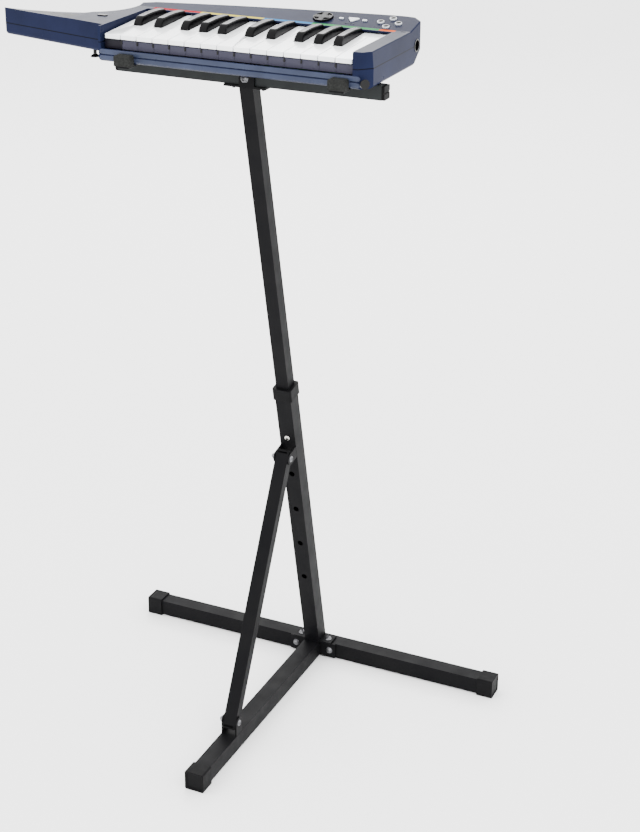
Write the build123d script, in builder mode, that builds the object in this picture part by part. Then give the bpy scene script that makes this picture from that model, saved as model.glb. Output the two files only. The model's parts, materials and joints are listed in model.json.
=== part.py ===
from build123d import *
from math import atan2, cos, degrees, radians, sin, tan
import os

os.makedirs("parts", exist_ok=True)

# Two-octave strap-on keyboard controller lying on a single-post floor stand. Millimetres.
# The origin is on the floor, under the middle of the rear crossbar. +X runs along the keys
# towards the high notes, +Y away from the player, +Z up.

# ---- driving dimensions: stand ----
crossbar_length = 608.0      # over the end caps
foot_reach = 414.0           # crossbar's centre line to the foot's capped end
base_tube = 25.0             # square tube of the crossbar and the foot
tube_wall = 1.5
cap_side = 30.0
cap_length = 25.0
cap_end = 3.0                # thickness of a cap's closed end
cap_recess = 1.0
plate = 3.0                  # flanges and the head plate
foot_flange_width = 78.0
foot_bolt_spacing = 58.0
post_flange_width = 64.0
post_bolt_spacing = 46.0
post_setback = -5.8          # post axis ahead of the crossbar's centre line, at the flange
post_lean = 12.4             # degrees from the vertical, towards the player
outer_tube = 25.0
outer_length = 486.0
inner_tube = 20.0
head_height = 972.5          # top of the upper post, underside of its head plate
snap_height = 404.6          # along the post, from its flange to the snap button
snap_pitch = 67.4
snap_steps = 4               # lower positions below the one in use
inner_tail = 28.0            # inner tube below the snap button
snap_hole = 9.0              # diameter
snap_clearance = 0.3
collar_side = 30.0
collar_height = 5.0
collar_skirt = 14.0
bush_depth = 24.0
slide_clearance = 0.15       # inner tube in the collar's bush, per side
brace_width = 20.0
brace_depth = 15.0
brace_height = 381.8         # along the post, to the brace's upper bolt
brace_standoff = 18.75       # post's front face to the upper bolt
brace_foot_y = -296.8
brace_foot_z = 46.3
ear = 2.0                    # thickness of a bracket's ears
ear_gap = 0.3                # between the brace and each ear
ear_width = 18.0
bolt_d = 6.0
bolt_head_d = 11.0
bolt_head_h = 4.0
nut_h = 5.0
bolt_clearance = 0.2         # radial, in every bolt hole
head_width = 61.0
head_bolt_spacing = 43.0
tab_width = 22.0
tab_height = 17.0
tab_offset = 3.0
bar_side = 18.0
bar_length = 380.0           # without its end caps
bar_cap = 4.0
arm_spacing = 304.0
arm_width = 20.0
arm_thick = 2.0
arm_front = 62.7             # ahead of the support bar's centre line
arm_rear = 96.0
pad_width = 24.0
pad_base = 1.0
pad_lip = 12.0               # lip's thickness, front to back
pad_rise = 14.4              # lip above the arm

# ---- driving dimensions: keyboard ----
octave_whites = 7
octaves = 2
white_pitch = 23.5
key_gap = 1.0                # between neighbouring keys
black_width = 12.6
black_setback = 50.5         # white key's front to black key's front
black_rise = 10.6
black_drop = 3.0             # fall of the black key's top towards the panel
black_slope = 6.5            # run of the black key's sloped front
key_slope = 3.0              # degrees, rising away from the player
key_reach = 118.6            # visible length of a white key
key_tail = 24.0              # hidden length, behind the panel's edge
key_lip = 5.6                # height of a white key's front
key_plate = 2.4
lip_plate = 1.4              # thinner top plate over the rail
key_depth = 7.0
tail_drop = 1.0              # key's top lower under the panel than in front of it
key_wall = 1.3
hinge_d = 3.0
hinge_clearance = 0.06       # radial
hinge_inset = 6.0            # hinge axis ahead of the tail's end
margin = 3.0                 # between the outer keys and the casing
body_front = 6.0             # casing ahead of the keys' fronts
body_drop = 35.4             # casing's floor below the white keys' fronts
body_top = 11.0              # cheeks above the white keys' fronts
cheek_right = 21.5           # outer right side beyond the keys' opening
cheek_left = 3.5
seam = -10.5                 # joint between the two shells
bead_top = -18.7             # front wall below the key lips
wall = 2.5
panel_flat = 130.0           # where the panel starts to slope up
panel_slope = 12.7           # degrees
back_bevel = 22.0
facet_low = 15.0             # cut front corner at the right, from the seam down
facet_high = 10.5            # the same corner at the casing's top
neck_top = 11.0
neck_drop = 26.5
neck_end_x = -189.0
neck_end_y = 46.5
neck_width = 43.0
neck_fall = 0.26             # rise over run of the neck's top at its far end
rail_gap = 1.4               # behind the key lips
rail_thick = 2.5
rail_top = -7.5
strip_width = 8.0
strip_depth = 0.6
pad_d = 26.0                 # direction pad
pad_height = 2.6
pad_gap = 1.0
button_d = 9.6
button_rise = 1.8
button_gap = 0.4
diamond_radius = 12.4
flange_extra = 1.2
flange_thick = 1.0
guide_half = 5.4             # guide button: between its upper corners' centres, halved
guide_corner = 2.2           # radius of its corners
small_button = (7.0, 3.6)
small_rise = 1.4
socket_d = 17.0
socket_depth = 12.0
peg_d = 5.0
peg_head_d = 12.5
peg_length = 10.0

# ---- worked out from the driving dimensions ----
base_z = cap_side / 2
flange_z = base_z + base_tube / 2 + plate
lean = radians(post_lean)
post_axis = (0, -sin(lean), cos(lean))
post_length = (head_height - flange_z) / cos(lean)
head_y = post_setback - post_length * sin(lean)
head_top = head_height + plate
bar_z = head_top + bar_side / 2
arm_z = head_top + bar_side
keyboard_floor = arm_z + arm_thick + pad_base
white_count = octave_whites * octaves + 1
keys_width = white_pitch * white_count
key_x = -keys_width / 2 - 11.45
key_y = head_y - 45.0
key_z = keyboard_floor + body_drop
KEYS = Plane(origin=(key_x, key_y, key_z))
slope = radians(panel_slope)


def finish(part, name):
    """Label a finished piece and write its STEP file."""
    part.label = name
    export_step(part, f"parts/{name}.step")


def on_post(distance):
    """Plane square to the post's axis; its y runs away from the player."""
    y = post_setback + post_axis[1] * distance
    z = flange_z + post_axis[2] * distance
    return Plane(origin=(0, y, z), x_dir=(1, 0, 0), z_dir=post_axis)


def side_plane(x):
    """Upright plane across the keyboard at x; its own x runs back and its y runs up."""
    return Plane(origin=(key_x + x, key_y, key_z), x_dir=(0, 1, 0), z_dir=(1, 0, 0))


def roof_z(y):
    """Height of the casing's top at a distance y behind the keys' fronts."""
    return body_top + max(0.0, y - panel_flat) * tan(slope)


def on_panel(x, y, height=0.0):
    """Plane on the sloping control panel, with z square to it."""
    origin = Vector(key_x + x, key_y + y, key_z + roof_z(y))
    normal = Vector(0, -sin(slope), cos(slope))
    return Plane(origin=origin + normal * height, x_dir=(1, 0, 0), z_dir=normal)


def box_between(low, high):
    """Box from its lowest to its highest corner, in the keyboard's own coordinates."""
    size = [b - a for a, b in zip(low, high)]
    middle = [(a + b) / 2 for a, b in zip(low, high)]
    return KEYS * Pos(*middle) * Box(*size, mode=Mode.PRIVATE)


def tube(plane, width, depth, length, wall_thick=tube_wall):
    """Rectangular tube that starts on a plane and runs along its normal."""
    with BuildPart() as piece:
        with BuildSketch(plane):
            Rectangle(width, depth)
            Rectangle(width - 2 * wall_thick, depth - 2 * wall_thick, mode=Mode.SUBTRACT)
        extrude(amount=length)
    return piece.part


def bolt(plane, grip, head=bolt_head_h, nut=nut_h):
    """Bolt whose head's underside lies on a plane, with a nut past its grip."""
    with BuildPart() as piece:
        with BuildSketch(plane):
            Circle(bolt_head_d / 2)
        extrude(amount=head)
        with BuildSketch(plane):
            Circle(bolt_d / 2)
        extrude(amount=-grip)
        with BuildSketch(plane.offset(-grip)):
            RegularPolygon(bolt_head_d / 2, 6)
        extrude(amount=-nut)
        with BuildSketch(plane.offset(-grip - nut)):
            Circle(bolt_d / 2 - 0.3)
        extrude(amount=-2)
    return piece.part


# ---- base ----
BACK = Plane(origin=(0, 0, base_z), x_dir=(1, 0, 0), z_dir=(0, -1, 0))
crossbar_start = -crossbar_length / 2 + cap_end
CROSS = Plane(origin=(crossbar_start, 0, base_z), x_dir=(0, 1, 0), z_dir=(1, 0, 0))
hole_r = bolt_d / 2 + bolt_clearance

with BuildPart() as base_crossbar:
    add(tube(CROSS, base_tube, base_tube, crossbar_length - 2 * cap_end))
    with BuildSketch(BACK.offset(-base_tube)):
        with GridLocations(foot_bolt_spacing, 1, 2, 1):
            Circle(hole_r)
    extrude(amount=2 * base_tube, mode=Mode.SUBTRACT)
    with BuildSketch(Plane(origin=(0, post_setback, flange_z))):
        with GridLocations(post_bolt_spacing, 1, 2, 1):
            Circle(hole_r)
    extrude(amount=-base_tube / 2, mode=Mode.SUBTRACT)
finish(base_crossbar.part, "base_crossbar")

with BuildPart() as base_foot:
    foot_flange_face = BACK.offset(base_tube / 2)
    with BuildSketch(foot_flange_face):
        Rectangle(foot_flange_width, base_tube)
        with GridLocations(foot_bolt_spacing, 1, 2, 1):
            Circle(hole_r, mode=Mode.SUBTRACT)
    extrude(amount=plate)
    foot_start = base_tube / 2 + plate
    add(tube(BACK.offset(foot_start), base_tube, base_tube, foot_reach - cap_end - foot_start))
    ear_x = brace_width / 2 + ear_gap
    foot_top = base_z + base_tube / 2
    for side in (-1, 1):
        start = side * (ear_x + ear / 2) - ear / 2
        ear_face = Plane(origin=(start, brace_foot_y, foot_top), x_dir=(0, 1, 0), z_dir=(1, 0, 0))
        with BuildSketch(ear_face):
            with Locations((0, (brace_foot_z - foot_top) / 2)):
                Rectangle(ear_width, brace_foot_z - foot_top)
            with Locations((0, brace_foot_z - foot_top)):
                Circle(ear_width / 2)
                Circle(hole_r, mode=Mode.SUBTRACT)
        extrude(amount=ear)
finish(base_foot.part, "base_foot")


def end_cap(plane):
    """Square cap pushed over a tube that ends on a plane, closed end outwards."""
    with BuildPart() as piece:
        with BuildSketch(plane.offset(cap_end)):
            RectangleRounded(cap_side, cap_side, 2.5)
        extrude(amount=-cap_length)
        with BuildSketch(plane):
            Rectangle(base_tube, base_tube)
        extrude(amount=-cap_length, mode=Mode.SUBTRACT)
        with BuildSketch(plane.offset(cap_end)):
            RectangleRounded(cap_side - 6, cap_side - 6, 1.5)
        extrude(amount=-cap_recess, mode=Mode.SUBTRACT)
    return piece.part


left_end = Plane(origin=(crossbar_start, 0, base_z), x_dir=(0, -1, 0), z_dir=(-1, 0, 0))
right_end = Plane(origin=(-crossbar_start, 0, base_z), x_dir=(0, 1, 0), z_dir=(1, 0, 0))
with BuildPart() as base_end_caps:
    for end in (left_end, right_end, BACK.offset(foot_reach - cap_end)):
        add(end_cap(end))
finish(base_end_caps.part, "base_end_caps")

# ---- lower post ----
upper_bolt_y = -(outer_tube / 2 + brace_standoff)
inner_gap = outer_tube / 2 - tube_wall - inner_tube / 2

with BuildPart() as post_lower:
    add(tube(on_post(-20), outer_tube, outer_tube, outer_length + 20))
    with Locations((0, post_setback, flange_z - 50)):
        Box(200, 200, 100, mode=Mode.SUBTRACT)
    with BuildSketch(Plane(origin=(0, post_setback, flange_z))):
        Rectangle(post_flange_width, base_tube)
        with GridLocations(post_bolt_spacing, 1, 2, 1):
            Circle(hole_r, mode=Mode.SUBTRACT)
    extrude(amount=-plate)
    for step in range(snap_steps + 1):
        spot = on_post(snap_height - step * snap_pitch)
        front = Plane(origin=spot.origin, x_dir=(1, 0, 0), z_dir=-spot.y_dir)
        with BuildSketch(front.offset(inner_tube / 2 + inner_gap / 2)):
            Circle(snap_hole / 2)
        extrude(amount=2 * tube_wall + inner_gap, mode=Mode.SUBTRACT)
    for side in (-1, 1):
        at = on_post(brace_height)
        start = at.origin + Vector(side * (ear_x + ear / 2) - ear / 2, 0, 0)
        with BuildSketch(Plane(origin=start, x_dir=at.y_dir, z_dir=(1, 0, 0))):
            with Locations((upper_bolt_y / 2 - outer_tube / 4, 0)):
                Rectangle(brace_standoff, ear_width)
            with Locations((upper_bolt_y, 0)):
                Circle(ear_width / 2)
                Circle(hole_r, mode=Mode.SUBTRACT)
        extrude(amount=ear)
finish(post_lower.part, "post_lower")

bush_side = outer_tube - 2 * tube_wall - 0.1
with BuildPart() as post_collar:
    with BuildSketch(on_post(outer_length - collar_skirt)):
        RectangleRounded(collar_side, collar_side, 3)
        Rectangle(outer_tube, outer_tube, mode=Mode.SUBTRACT)
    extrude(amount=collar_skirt)
    with BuildSketch(on_post(outer_length)):
        RectangleRounded(collar_side, collar_side, 3)
    extrude(amount=collar_height)
    with BuildSketch(on_post(outer_length)):
        Rectangle(bush_side, bush_side)
    extrude(amount=-bush_depth)
    with BuildSketch(on_post(outer_length - bush_depth)):
        Rectangle(inner_tube + 2 * slide_clearance, inner_tube + 2 * slide_clearance)
    extrude(amount=bush_depth + collar_height, mode=Mode.SUBTRACT)
finish(post_collar.part, "post_collar")

# ---- upper post ----
bar_y = head_y - 2.3
tab_y = bar_y - bar_side / 2
inner_start = snap_height - inner_tail
with BuildPart() as post_upper:
    add(tube(on_post(inner_start), inner_tube, inner_tube, post_length - inner_start + 20))
    with Locations((0, head_y, head_height + 50)):
        Box(200, 200, 100, mode=Mode.SUBTRACT)
    spot = on_post(snap_height)
    front = Plane(origin=spot.origin, x_dir=(1, 0, 0), z_dir=-spot.y_dir)
    with BuildSketch(front):
        Circle(snap_hole / 2)
    extrude(amount=inner_tube, mode=Mode.SUBTRACT)
    plate_front = tab_y - plate
    plate_back = head_y + inner_tube / 2 + 2
    with BuildSketch(Plane(origin=(0, 0, head_height))):
        with Locations((0, (plate_front + plate_back) / 2)):
            Rectangle(head_width, plate_back - plate_front)
        with Locations((0, bar_y)):
            with GridLocations(head_bolt_spacing, 1, 2, 1):
                Circle(hole_r, mode=Mode.SUBTRACT)
    extrude(amount=plate)
    with BuildSketch(Plane(origin=(tab_offset, tab_y, head_top), x_dir=(1, 0, 0), z_dir=(0, -1, 0))):
        with Locations((0, tab_height / 2)):
            RectangleRounded(tab_width, tab_height, 4)
        with Locations((0, tab_height / 4)):
            Rectangle(tab_width, tab_height / 2)
        with Locations((-tab_offset, bar_side / 2)):
            Circle(hole_r, mode=Mode.SUBTRACT)
    extrude(amount=plate)
finish(post_upper.part, "post_upper")

with BuildPart() as snap_clip:
    spot = on_post(snap_height)
    front = Plane(origin=spot.origin, x_dir=(1, 0, 0), z_dir=-spot.y_dir)
    button_r = snap_hole / 2 - snap_clearance
    clip_front = inner_tube / 2 - tube_wall - 0.3
    with BuildSketch(front.offset(clip_front)):
        Circle(button_r)
    extrude(amount=outer_tube / 2 + 2.5 - clip_front)
    fillet(snap_clip.faces().sort_by(Axis(spot.origin, front.z_dir))[-1].edges(), 2)
    clip_side = Plane(origin=spot.origin - Vector(5, 0, 0), x_dir=front.z_dir, z_dir=(1, 0, 0))
    with BuildSketch(clip_side):
        with BuildLine():
            Polyline((clip_front - 0.4, -8), (clip_front - 0.4, 22), (-1.6, 22), (-1.6, -6))
            offset(amount=0.4, side=Side.BOTH)
        make_face()
    extrude(amount=10)
finish(snap_clip.part, "snap_clip")

# ---- brace ----
top_spot = on_post(brace_height)
brace_top = top_spot.origin + top_spot.y_dir * upper_bolt_y
brace_foot = Vector(0, brace_foot_y, brace_foot_z)
brace_run = brace_top - brace_foot
brace_dir = brace_run.normalized()
brace_over = 9.0             # brace past each of its bolts
BRACE = Plane(origin=brace_foot - brace_dir * brace_over, x_dir=(1, 0, 0), z_dir=brace_dir)
with BuildPart() as brace:
    add(tube(BRACE, brace_width, brace_depth, brace_run.length + 2 * brace_over))
    for point in (brace_foot, brace_top):
        with BuildSketch(Plane(origin=point - Vector(brace_width, 0, 0), z_dir=(1, 0, 0))):
            Circle(hole_r)
        extrude(amount=2 * brace_width, mode=Mode.SUBTRACT)
finish(brace.part, "brace")

with BuildPart() as base_bolts:
    for side in (-1, 1):
        x = side * foot_bolt_spacing / 2
        face = base_tube / 2 + plate
        add(bolt(Plane(origin=(x, -face, base_z), z_dir=(0, -1, 0)), base_tube + plate))
        x = side * post_bolt_spacing / 2
        add(bolt(Plane(origin=(x, post_setback, flange_z)), tube_wall + plate))
    outside = brace_width / 2 + ear_gap + ear
    for point in (brace_foot, brace_top):
        add(bolt(Plane(origin=point + Vector(outside, 0, 0), z_dir=(1, 0, 0)), 2 * outside, 3.0, 4.0))
finish(base_bolts.part, "base_bolts")

# ---- support bar, its arms and pads ----
BAR = Plane(origin=(-bar_length / 2, bar_y, bar_z), x_dir=(0, 1, 0), z_dir=(1, 0, 0))
with BuildPart() as support_bar:
    add(tube(BAR, bar_side, bar_side, bar_length))
    with BuildSketch(Plane(origin=(0, bar_y, head_top))):
        with GridLocations(head_bolt_spacing, 1, 2, 1):
            Circle(hole_r)
    extrude(amount=tube_wall * 2, mode=Mode.SUBTRACT)
    with BuildSketch(Plane(origin=(0, tab_y, bar_z), x_dir=(1, 0, 0), z_dir=(0, -1, 0))):
        Circle(hole_r)
    extrude(amount=-tube_wall * 2, mode=Mode.SUBTRACT)
finish(support_bar.part, "support_bar")

with BuildPart() as bar_end_caps:
    for side in (-1, 1):
        end = Plane(origin=(side * bar_length / 2, bar_y, bar_z), z_dir=(side, 0, 0))
        with BuildSketch(end):
            RectangleRounded(bar_side, bar_side, 1.5)
        extrude(amount=bar_cap)
        with BuildSketch(end.offset(bar_cap)):
            Rectangle(2.0, bar_side)
        extrude(amount=-1.0, mode=Mode.SUBTRACT)
        with BuildSketch(end):
            Rectangle(bar_side - 2 * tube_wall - 0.2, bar_side - 2 * tube_wall - 0.2)
        extrude(amount=-10)
finish(bar_end_caps.part, "bar_end_caps")

with BuildPart() as rest_arms:
    with BuildSketch(Plane(origin=(0, bar_y + (arm_rear - arm_front) / 2, arm_z))):
        with GridLocations(arm_spacing, 1, 2, 1):
            Rectangle(arm_width, arm_front + arm_rear)
    extrude(amount=arm_thick)
finish(rest_arms.part, "rest_arms")

with BuildPart() as rest_pads:
    with BuildSketch(Plane(origin=(0, bar_y + (arm_rear - arm_front) / 2, arm_z + arm_thick))):
        with GridLocations(arm_spacing, 1, 2, 1):
            Rectangle(pad_width, arm_front + arm_rear)
    extrude(amount=pad_base)
    lip_start = (0, bar_y - arm_front, arm_z + arm_thick)
    lip_face = Plane(origin=lip_start, x_dir=(1, 0, 0), z_dir=(0, -1, 0))
    with BuildSketch(lip_face):
        with GridLocations(arm_spacing, 1, 2, 1):
            with Locations((0, pad_rise / 2)):
                RectangleRounded(pad_width, pad_rise, 3.5)
            with Locations((0, pad_rise / 4)):
                Rectangle(pad_width, pad_rise / 2)
    extrude(amount=-pad_lip)
finish(rest_pads.part, "rest_pads")

with BuildPart() as head_bolts:
    for side in (-1, 1):
        below = Plane(origin=(side * head_bolt_spacing / 2, bar_y, head_height), z_dir=(0, 0, -1))
        add(bolt(below, plate + tube_wall, nut=4.0))
    add(bolt(Plane(origin=(0, tab_y - plate, bar_z), z_dir=(0, -1, 0)), plate + tube_wall, nut=4.0))
finish(head_bolts.part, "head_bolts")

# ---- keyboard: outline of the casing ----
left = -margin - cheek_left
right = keys_width + margin + cheek_right
back_left = 148.0            # depth of the back edge behind the keys' fronts
back_bulge = 165.0
back_right = 175.5
corner = 11.0
hinge_y = key_reach + key_tail - hinge_inset
key_end = key_reach + key_tail
rise = tan(radians(key_slope))
hinge_z = hinge_y * rise - key_depth / 2
neck_dir = Vector(neck_end_x, neck_end_y - 3.1, 0).normalized()
neck_side = Vector(-neck_dir.Y, neck_dir.X, 0) * -1
neck_root_x = -70.0          # where the neck's back edge starts to flare into the body


def body_face(z, inset=0.0):
    """Outline of the casing without its neck, at a height, drawn in by an inset."""
    with BuildSketch(KEYS.offset(z)) as face:
        with BuildLine():
            Polyline(
                (left + 2, back_left), (-24, 142), (-24, 126), (left, 96), (left, -body_front),
                (right - 9, -body_front), (right, 4), (right, back_right - corner),
                (right - 12, back_right - 1), (right - 27, back_right),
            )
            ThreePointArc((right - 27, back_right), (keys_width / 2, back_bulge), (left + 2, back_left))
        make_face()
        corners = face.vertices().sort_by(Axis.X)
        fillet(corners[-4:], 4)
        if inset:
            offset(amount=-inset)
    return face.sketch


def neck_face(z, inset=0.0):
    """Outline of the neck and its flare, at a height, drawn in by an inset."""
    end = Vector(neck_end_x, neck_end_y, 0)
    back = end + neck_side * neck_width
    along = (neck_root_x - back.X) / -neck_dir.X
    root = back - neck_dir * along
    with BuildSketch(KEYS.offset(z)) as face:
        with BuildLine():
            Polyline((0, 140), (0, 3.1), (end.X, end.Y), (back.X, back.Y), (root.X, root.Y))
            ThreePointArc((root.X, root.Y), (-38, 85), (-24, 128))
            Polyline((-24, 128), (-24, 140), (0, 140))
        make_face()
        fillet(face.vertices().sort_by(Axis.X)[:2], 6)
        if inset:
            offset(amount=-inset)
    return face.sketch


def roof_face(drop=0.0):
    """Side profile under the casing's top, from far below up to the roof, lowered by a drop."""
    far = back_right + 60
    with BuildSketch(side_plane(neck_end_x - 60)) as face:
        with BuildLine():
            Polyline(
                (-60, -80), (-60, body_top - drop), (panel_flat, body_top - drop),
                (far, roof_z(far) - drop), (far, -80), close=True,
            )
        make_face()
    return face.sketch


def neck_cutter(drop=0.0):
    """What is above the neck's twisted top: level at the flare, falling back at the far end."""
    level_x = -58.0
    with BuildPart() as cutter:
        for x, fall in ((neck_end_x - 20, neck_fall * 1.1), (level_x, 0.0)):
            front = 3.1 + (neck_end_y - 3.1) * x / neck_end_x - 2
            with BuildSketch(side_plane(x)):
                with BuildLine():
                    Polyline(
                        (front - 8, neck_top - drop), (front, neck_top - drop),
                        (front + 70, neck_top - drop - 70 * fall), (front + 70, 60),
                        (front - 8, 60), close=True,
                    )
                make_face()
        loft(ruled=True)
        with BuildSketch(side_plane(level_x)):
            with Locations((60, neck_top - drop + 40)):
                Rectangle(240, 80)
        extrude(amount=120)
    return cutter.part


def front_corner(levels, inset=0.0):
    """What is cut off the casing's front right corner: a facet whose run changes with height."""
    with BuildPart() as cut:
        for z, run in levels:
            cut_run = run + 1.42 * inset
            with BuildSketch(KEYS.offset(z)):
                with BuildLine():
                    Polyline(
                        (right - 20 - cut_run, -body_front - 20),
                        (right + 20, 20 + cut_run - body_front),
                        (right + 20, -body_front - 20), close=True,
                    )
                make_face()
        loft(ruled=True)
    return cut.part


span = keys_width - neck_end_x + 200
upper_levels = ((seam, facet_low), (body_top + 2, facet_high))
lower_levels = ((-body_drop - 2, facet_low), (seam, facet_low))

with BuildPart() as body_block:
    extrude(body_face(seam), amount=90)
    extrude(roof_face(), amount=span, mode=Mode.INTERSECT)
    top_edges = body_block.edges().filter_by(lambda e: e.center().Z > key_z + neck_top - 0.01)
    fillet(top_edges, 1.6)
    add(front_corner(upper_levels), mode=Mode.SUBTRACT)

with BuildPart() as neck_block:
    extrude(neck_face(seam), amount=60)
    add(neck_cutter(), mode=Mode.SUBTRACT)

with BuildPart() as upper_cavity:
    extrude(body_face(seam - 1, wall), amount=90)
    extrude(roof_face(wall), amount=span, mode=Mode.INTERSECT)
    add(front_corner(upper_levels, wall), mode=Mode.SUBTRACT)

with BuildPart() as neck_cavity:
    extrude(neck_face(wall - neck_drop, wall), amount=60)
    add(neck_cutter(wall), mode=Mode.SUBTRACT)
    add(box_between((left, -90, -90), (90, 290, 90)), mode=Mode.SUBTRACT)

well_right = keys_width + margin
back_edge = ((left, back_left), (right - 27, back_right))
corner_edge = ((right - 12, back_right - 1), (right, back_right - corner))


def bevel_wedge(edge, inset=0.0):
    """What is cut away below one of the casing's back edges, moved into the casing by an inset."""
    along = Vector(edge[1][0] - edge[0][0], edge[1][1] - edge[0][1], 0).normalized()
    out = Vector(-along.Y, along.X, 0)
    first = Vector(key_x + edge[0][0], key_y + edge[0][1], key_z - body_drop)
    start = first - along * 60 - out * (back_bevel - 3 + 1.42 * inset)
    with BuildPart() as wedge:
        with BuildSketch(Plane(origin=start, x_dir=out, z_dir=along)):
            with BuildLine():
                Polyline((-10, -10), (70, 70), (70, -10), close=True)
            make_face()
        extrude(amount=span)
    return wedge.part


with BuildPart() as body_base:
    extrude(body_face(-body_drop), amount=body_drop + seam)
    low_edges = body_base.edges().filter_by(lambda e: e.center().Z < key_z - body_drop + 0.01)
    fillet(low_edges.filter_by(lambda e: e.center().Y < key_y + 90), 4.5)
    add(bevel_wedge(back_edge), mode=Mode.SUBTRACT)
    add(bevel_wedge(corner_edge), mode=Mode.SUBTRACT)
    add(front_corner(lower_levels), mode=Mode.SUBTRACT)

with BuildPart() as neck_base:
    extrude(neck_face(-neck_drop), amount=neck_drop + seam)
    low_edges = neck_base.edges().filter_by(lambda e: e.center().Z < key_z - neck_drop + 0.01)
    fillet(low_edges.filter_by(lambda e: e.center().X < key_x - 20), 5)

with BuildPart() as lower_cavity:
    extrude(body_face(wall - body_drop, wall), amount=90)
    add(bevel_wedge(back_edge, wall), mode=Mode.SUBTRACT)
    add(bevel_wedge(corner_edge, wall), mode=Mode.SUBTRACT)
    add(front_corner(lower_levels, wall), mode=Mode.SUBTRACT)

# ---- controls on the panel ----
diamond_x = keys_width - 13.4
diamond_y = 149.6
pad_x = keys_width - 106.5
pad_y = 146.5
guide_x = keys_width - 64.5
guide_y = 149.0
back_x = guide_x - 16.8
start_x = guide_x + 16.4
face_buttons = {
    "face_button_left": (diamond_x - diamond_radius, diamond_y),
    "face_button_right": (diamond_x + diamond_radius, diamond_y),
    "face_button_front": (diamond_x, diamond_y - diamond_radius),
    "face_button_back": (diamond_x, diamond_y + diamond_radius),
}
neck_button_x = -34.0
neck_button_y = 52.0
neck_button_size = (15.0, 7.0)
strip_front = key_reach + 2.6
strip_left = 3.0
strip_right = keys_width + 4.5
slot_x = keys_width + 15.5
socket_y = 151.0
socket_clearance = 0.2
touch_from = 26.0            # along the neck from its far end
touch_length = 92.0
touch_width = 20.0
touch_depth = 1.2
touch_clearance = 0.2


def touch_slab(clearance, above, below):
    """Thin slab that follows the neck's twisted top, between two depths."""
    start = Vector(neck_end_x, neck_end_y, 0) - neck_dir * (touch_from + touch_length / 2)
    middle = start + neck_side * (neck_width * 0.45)
    turn = degrees(atan2(neck_dir.Y, neck_dir.X)) - 180
    with BuildPart() as prism:
        with BuildSketch(KEYS.offset(seam)):
            with Locations(Location((middle.X, middle.Y, 0), (0, 0, turn))):
                Rectangle(touch_length + 2 * clearance, touch_width + 2 * clearance)
        extrude(amount=60)
    with BuildPart() as slab:
        add(prism.part)
        add(neck_cutter(-above), mode=Mode.SUBTRACT)
        add(prism.part - neck_cutter(below), mode=Mode.SUBTRACT)
    return slab.part


bay_x = 150.0
bay_y = 75.0
bay_size = (54.0, 47.0)
cover_lip = 3.0
cover_thick = 2.0
cover_travel = 5.0
cover_gap = 0.3
bay_ring = 4.0               # thicker floor round the battery bay
bay_rim_x = bay_size[0] + 2 * (bay_ring + cover_lip) + cover_travel
bay_rim_y = bay_size[1] + 2 * (bay_ring + cover_lip)
post_d = 8.0
screw_d = 3.0
screw_head_d = 6.0
screw_head_h = 1.8
frame_posts = [(x, y) for x in (32.0, 195.0, 346.0) for y in (25.0, 117.0)]
board_posts = [(x, y) for x in (222.0, 318.0) for y in (38.0, 102.0)]
board_z = -28.0
board_thick = 1.6
board_size = (112.0, 78.0)
board_hole_d = 3.2
board_parts = {-34.0: (12.0, 8.0), 0.0: (18.0, 18.0), 34.0: (10.0, 30.0)}
board_part_height = 3.0
frame_low = -16.0
frame_thick = 2.0
floor_in = wall - body_drop
SIDE = Plane(origin=(key_x + right, key_y + socket_y, key_z + seam), x_dir=(0, 1, 0), z_dir=(1, 0, 0))

def rounded_triangle(grow):
    """Guide button's outline, with a corner towards the player, grown by a margin."""
    with Locations((-guide_half, 3.0), (guide_half, 3.0), (0, -4.6)):
        Circle(guide_corner + grow)
    make_hull()


with BuildPart() as upper_shell:
    add(body_block.part)
    add(neck_block.part)
    add(upper_cavity.part, mode=Mode.SUBTRACT)
    add(neck_cavity.part, mode=Mode.SUBTRACT)
    add(box_between((-margin, -90, bead_top), (well_right, key_reach, 90)), mode=Mode.SUBTRACT)
    add(box_between((left, 1 - body_front, seam), (-margin, key_reach + wall, body_top - 1.7)))
    cheek_high = (well_right + 2, key_reach + wall, body_top - 1.7)
    add(box_between((well_right, 1 - body_front, seam), cheek_high))
    with BuildSketch(on_panel(pad_x, pad_y, 3)):
        Circle(pad_d / 2 + pad_gap)
    extrude(amount=-8, mode=Mode.SUBTRACT)
    for spot in face_buttons.values():
        with BuildSketch(on_panel(*spot, 3)):
            Circle(button_d / 2 + button_gap)
        extrude(amount=-8, mode=Mode.SUBTRACT)
    with BuildSketch(on_panel(guide_x, guide_y, 3)):
        rounded_triangle(button_gap)
    extrude(amount=-8, mode=Mode.SUBTRACT)
    for x in (back_x, start_x):
        with BuildSketch(on_panel(x, guide_y, 3)):
            SlotOverall(small_button[0] + 2 * button_gap, small_button[1] + 2 * button_gap)
        extrude(amount=-8, mode=Mode.SUBTRACT)
    with BuildSketch(KEYS.offset(neck_top + 3)):
        with Locations((neck_button_x, neck_button_y)):
            SlotOverall(neck_button_size[0] + 2 * button_gap, neck_button_size[1] + 2 * button_gap)
    extrude(amount=-8, mode=Mode.SUBTRACT)
    strip_low = (strip_left, strip_front, body_top - strip_depth)
    strip_high = (strip_right, strip_front + strip_width, body_top + 5)
    add(box_between(strip_low, strip_high), mode=Mode.SUBTRACT)
    slot_high = (slot_x + 3.5, strip_front + 6, body_top + 5)
    add(box_between((slot_x - 3.5, strip_front + 3, body_top - 0.8), slot_high), mode=Mode.SUBTRACT)
    add(touch_slab(touch_clearance, 3, touch_depth), mode=Mode.SUBTRACT)
    with BuildSketch(SIDE.offset(4)):
        Circle(socket_d / 2 + socket_clearance)
    extrude(amount=-socket_depth - 8, mode=Mode.SUBTRACT)
finish(upper_shell.part, "upper_shell")

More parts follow.
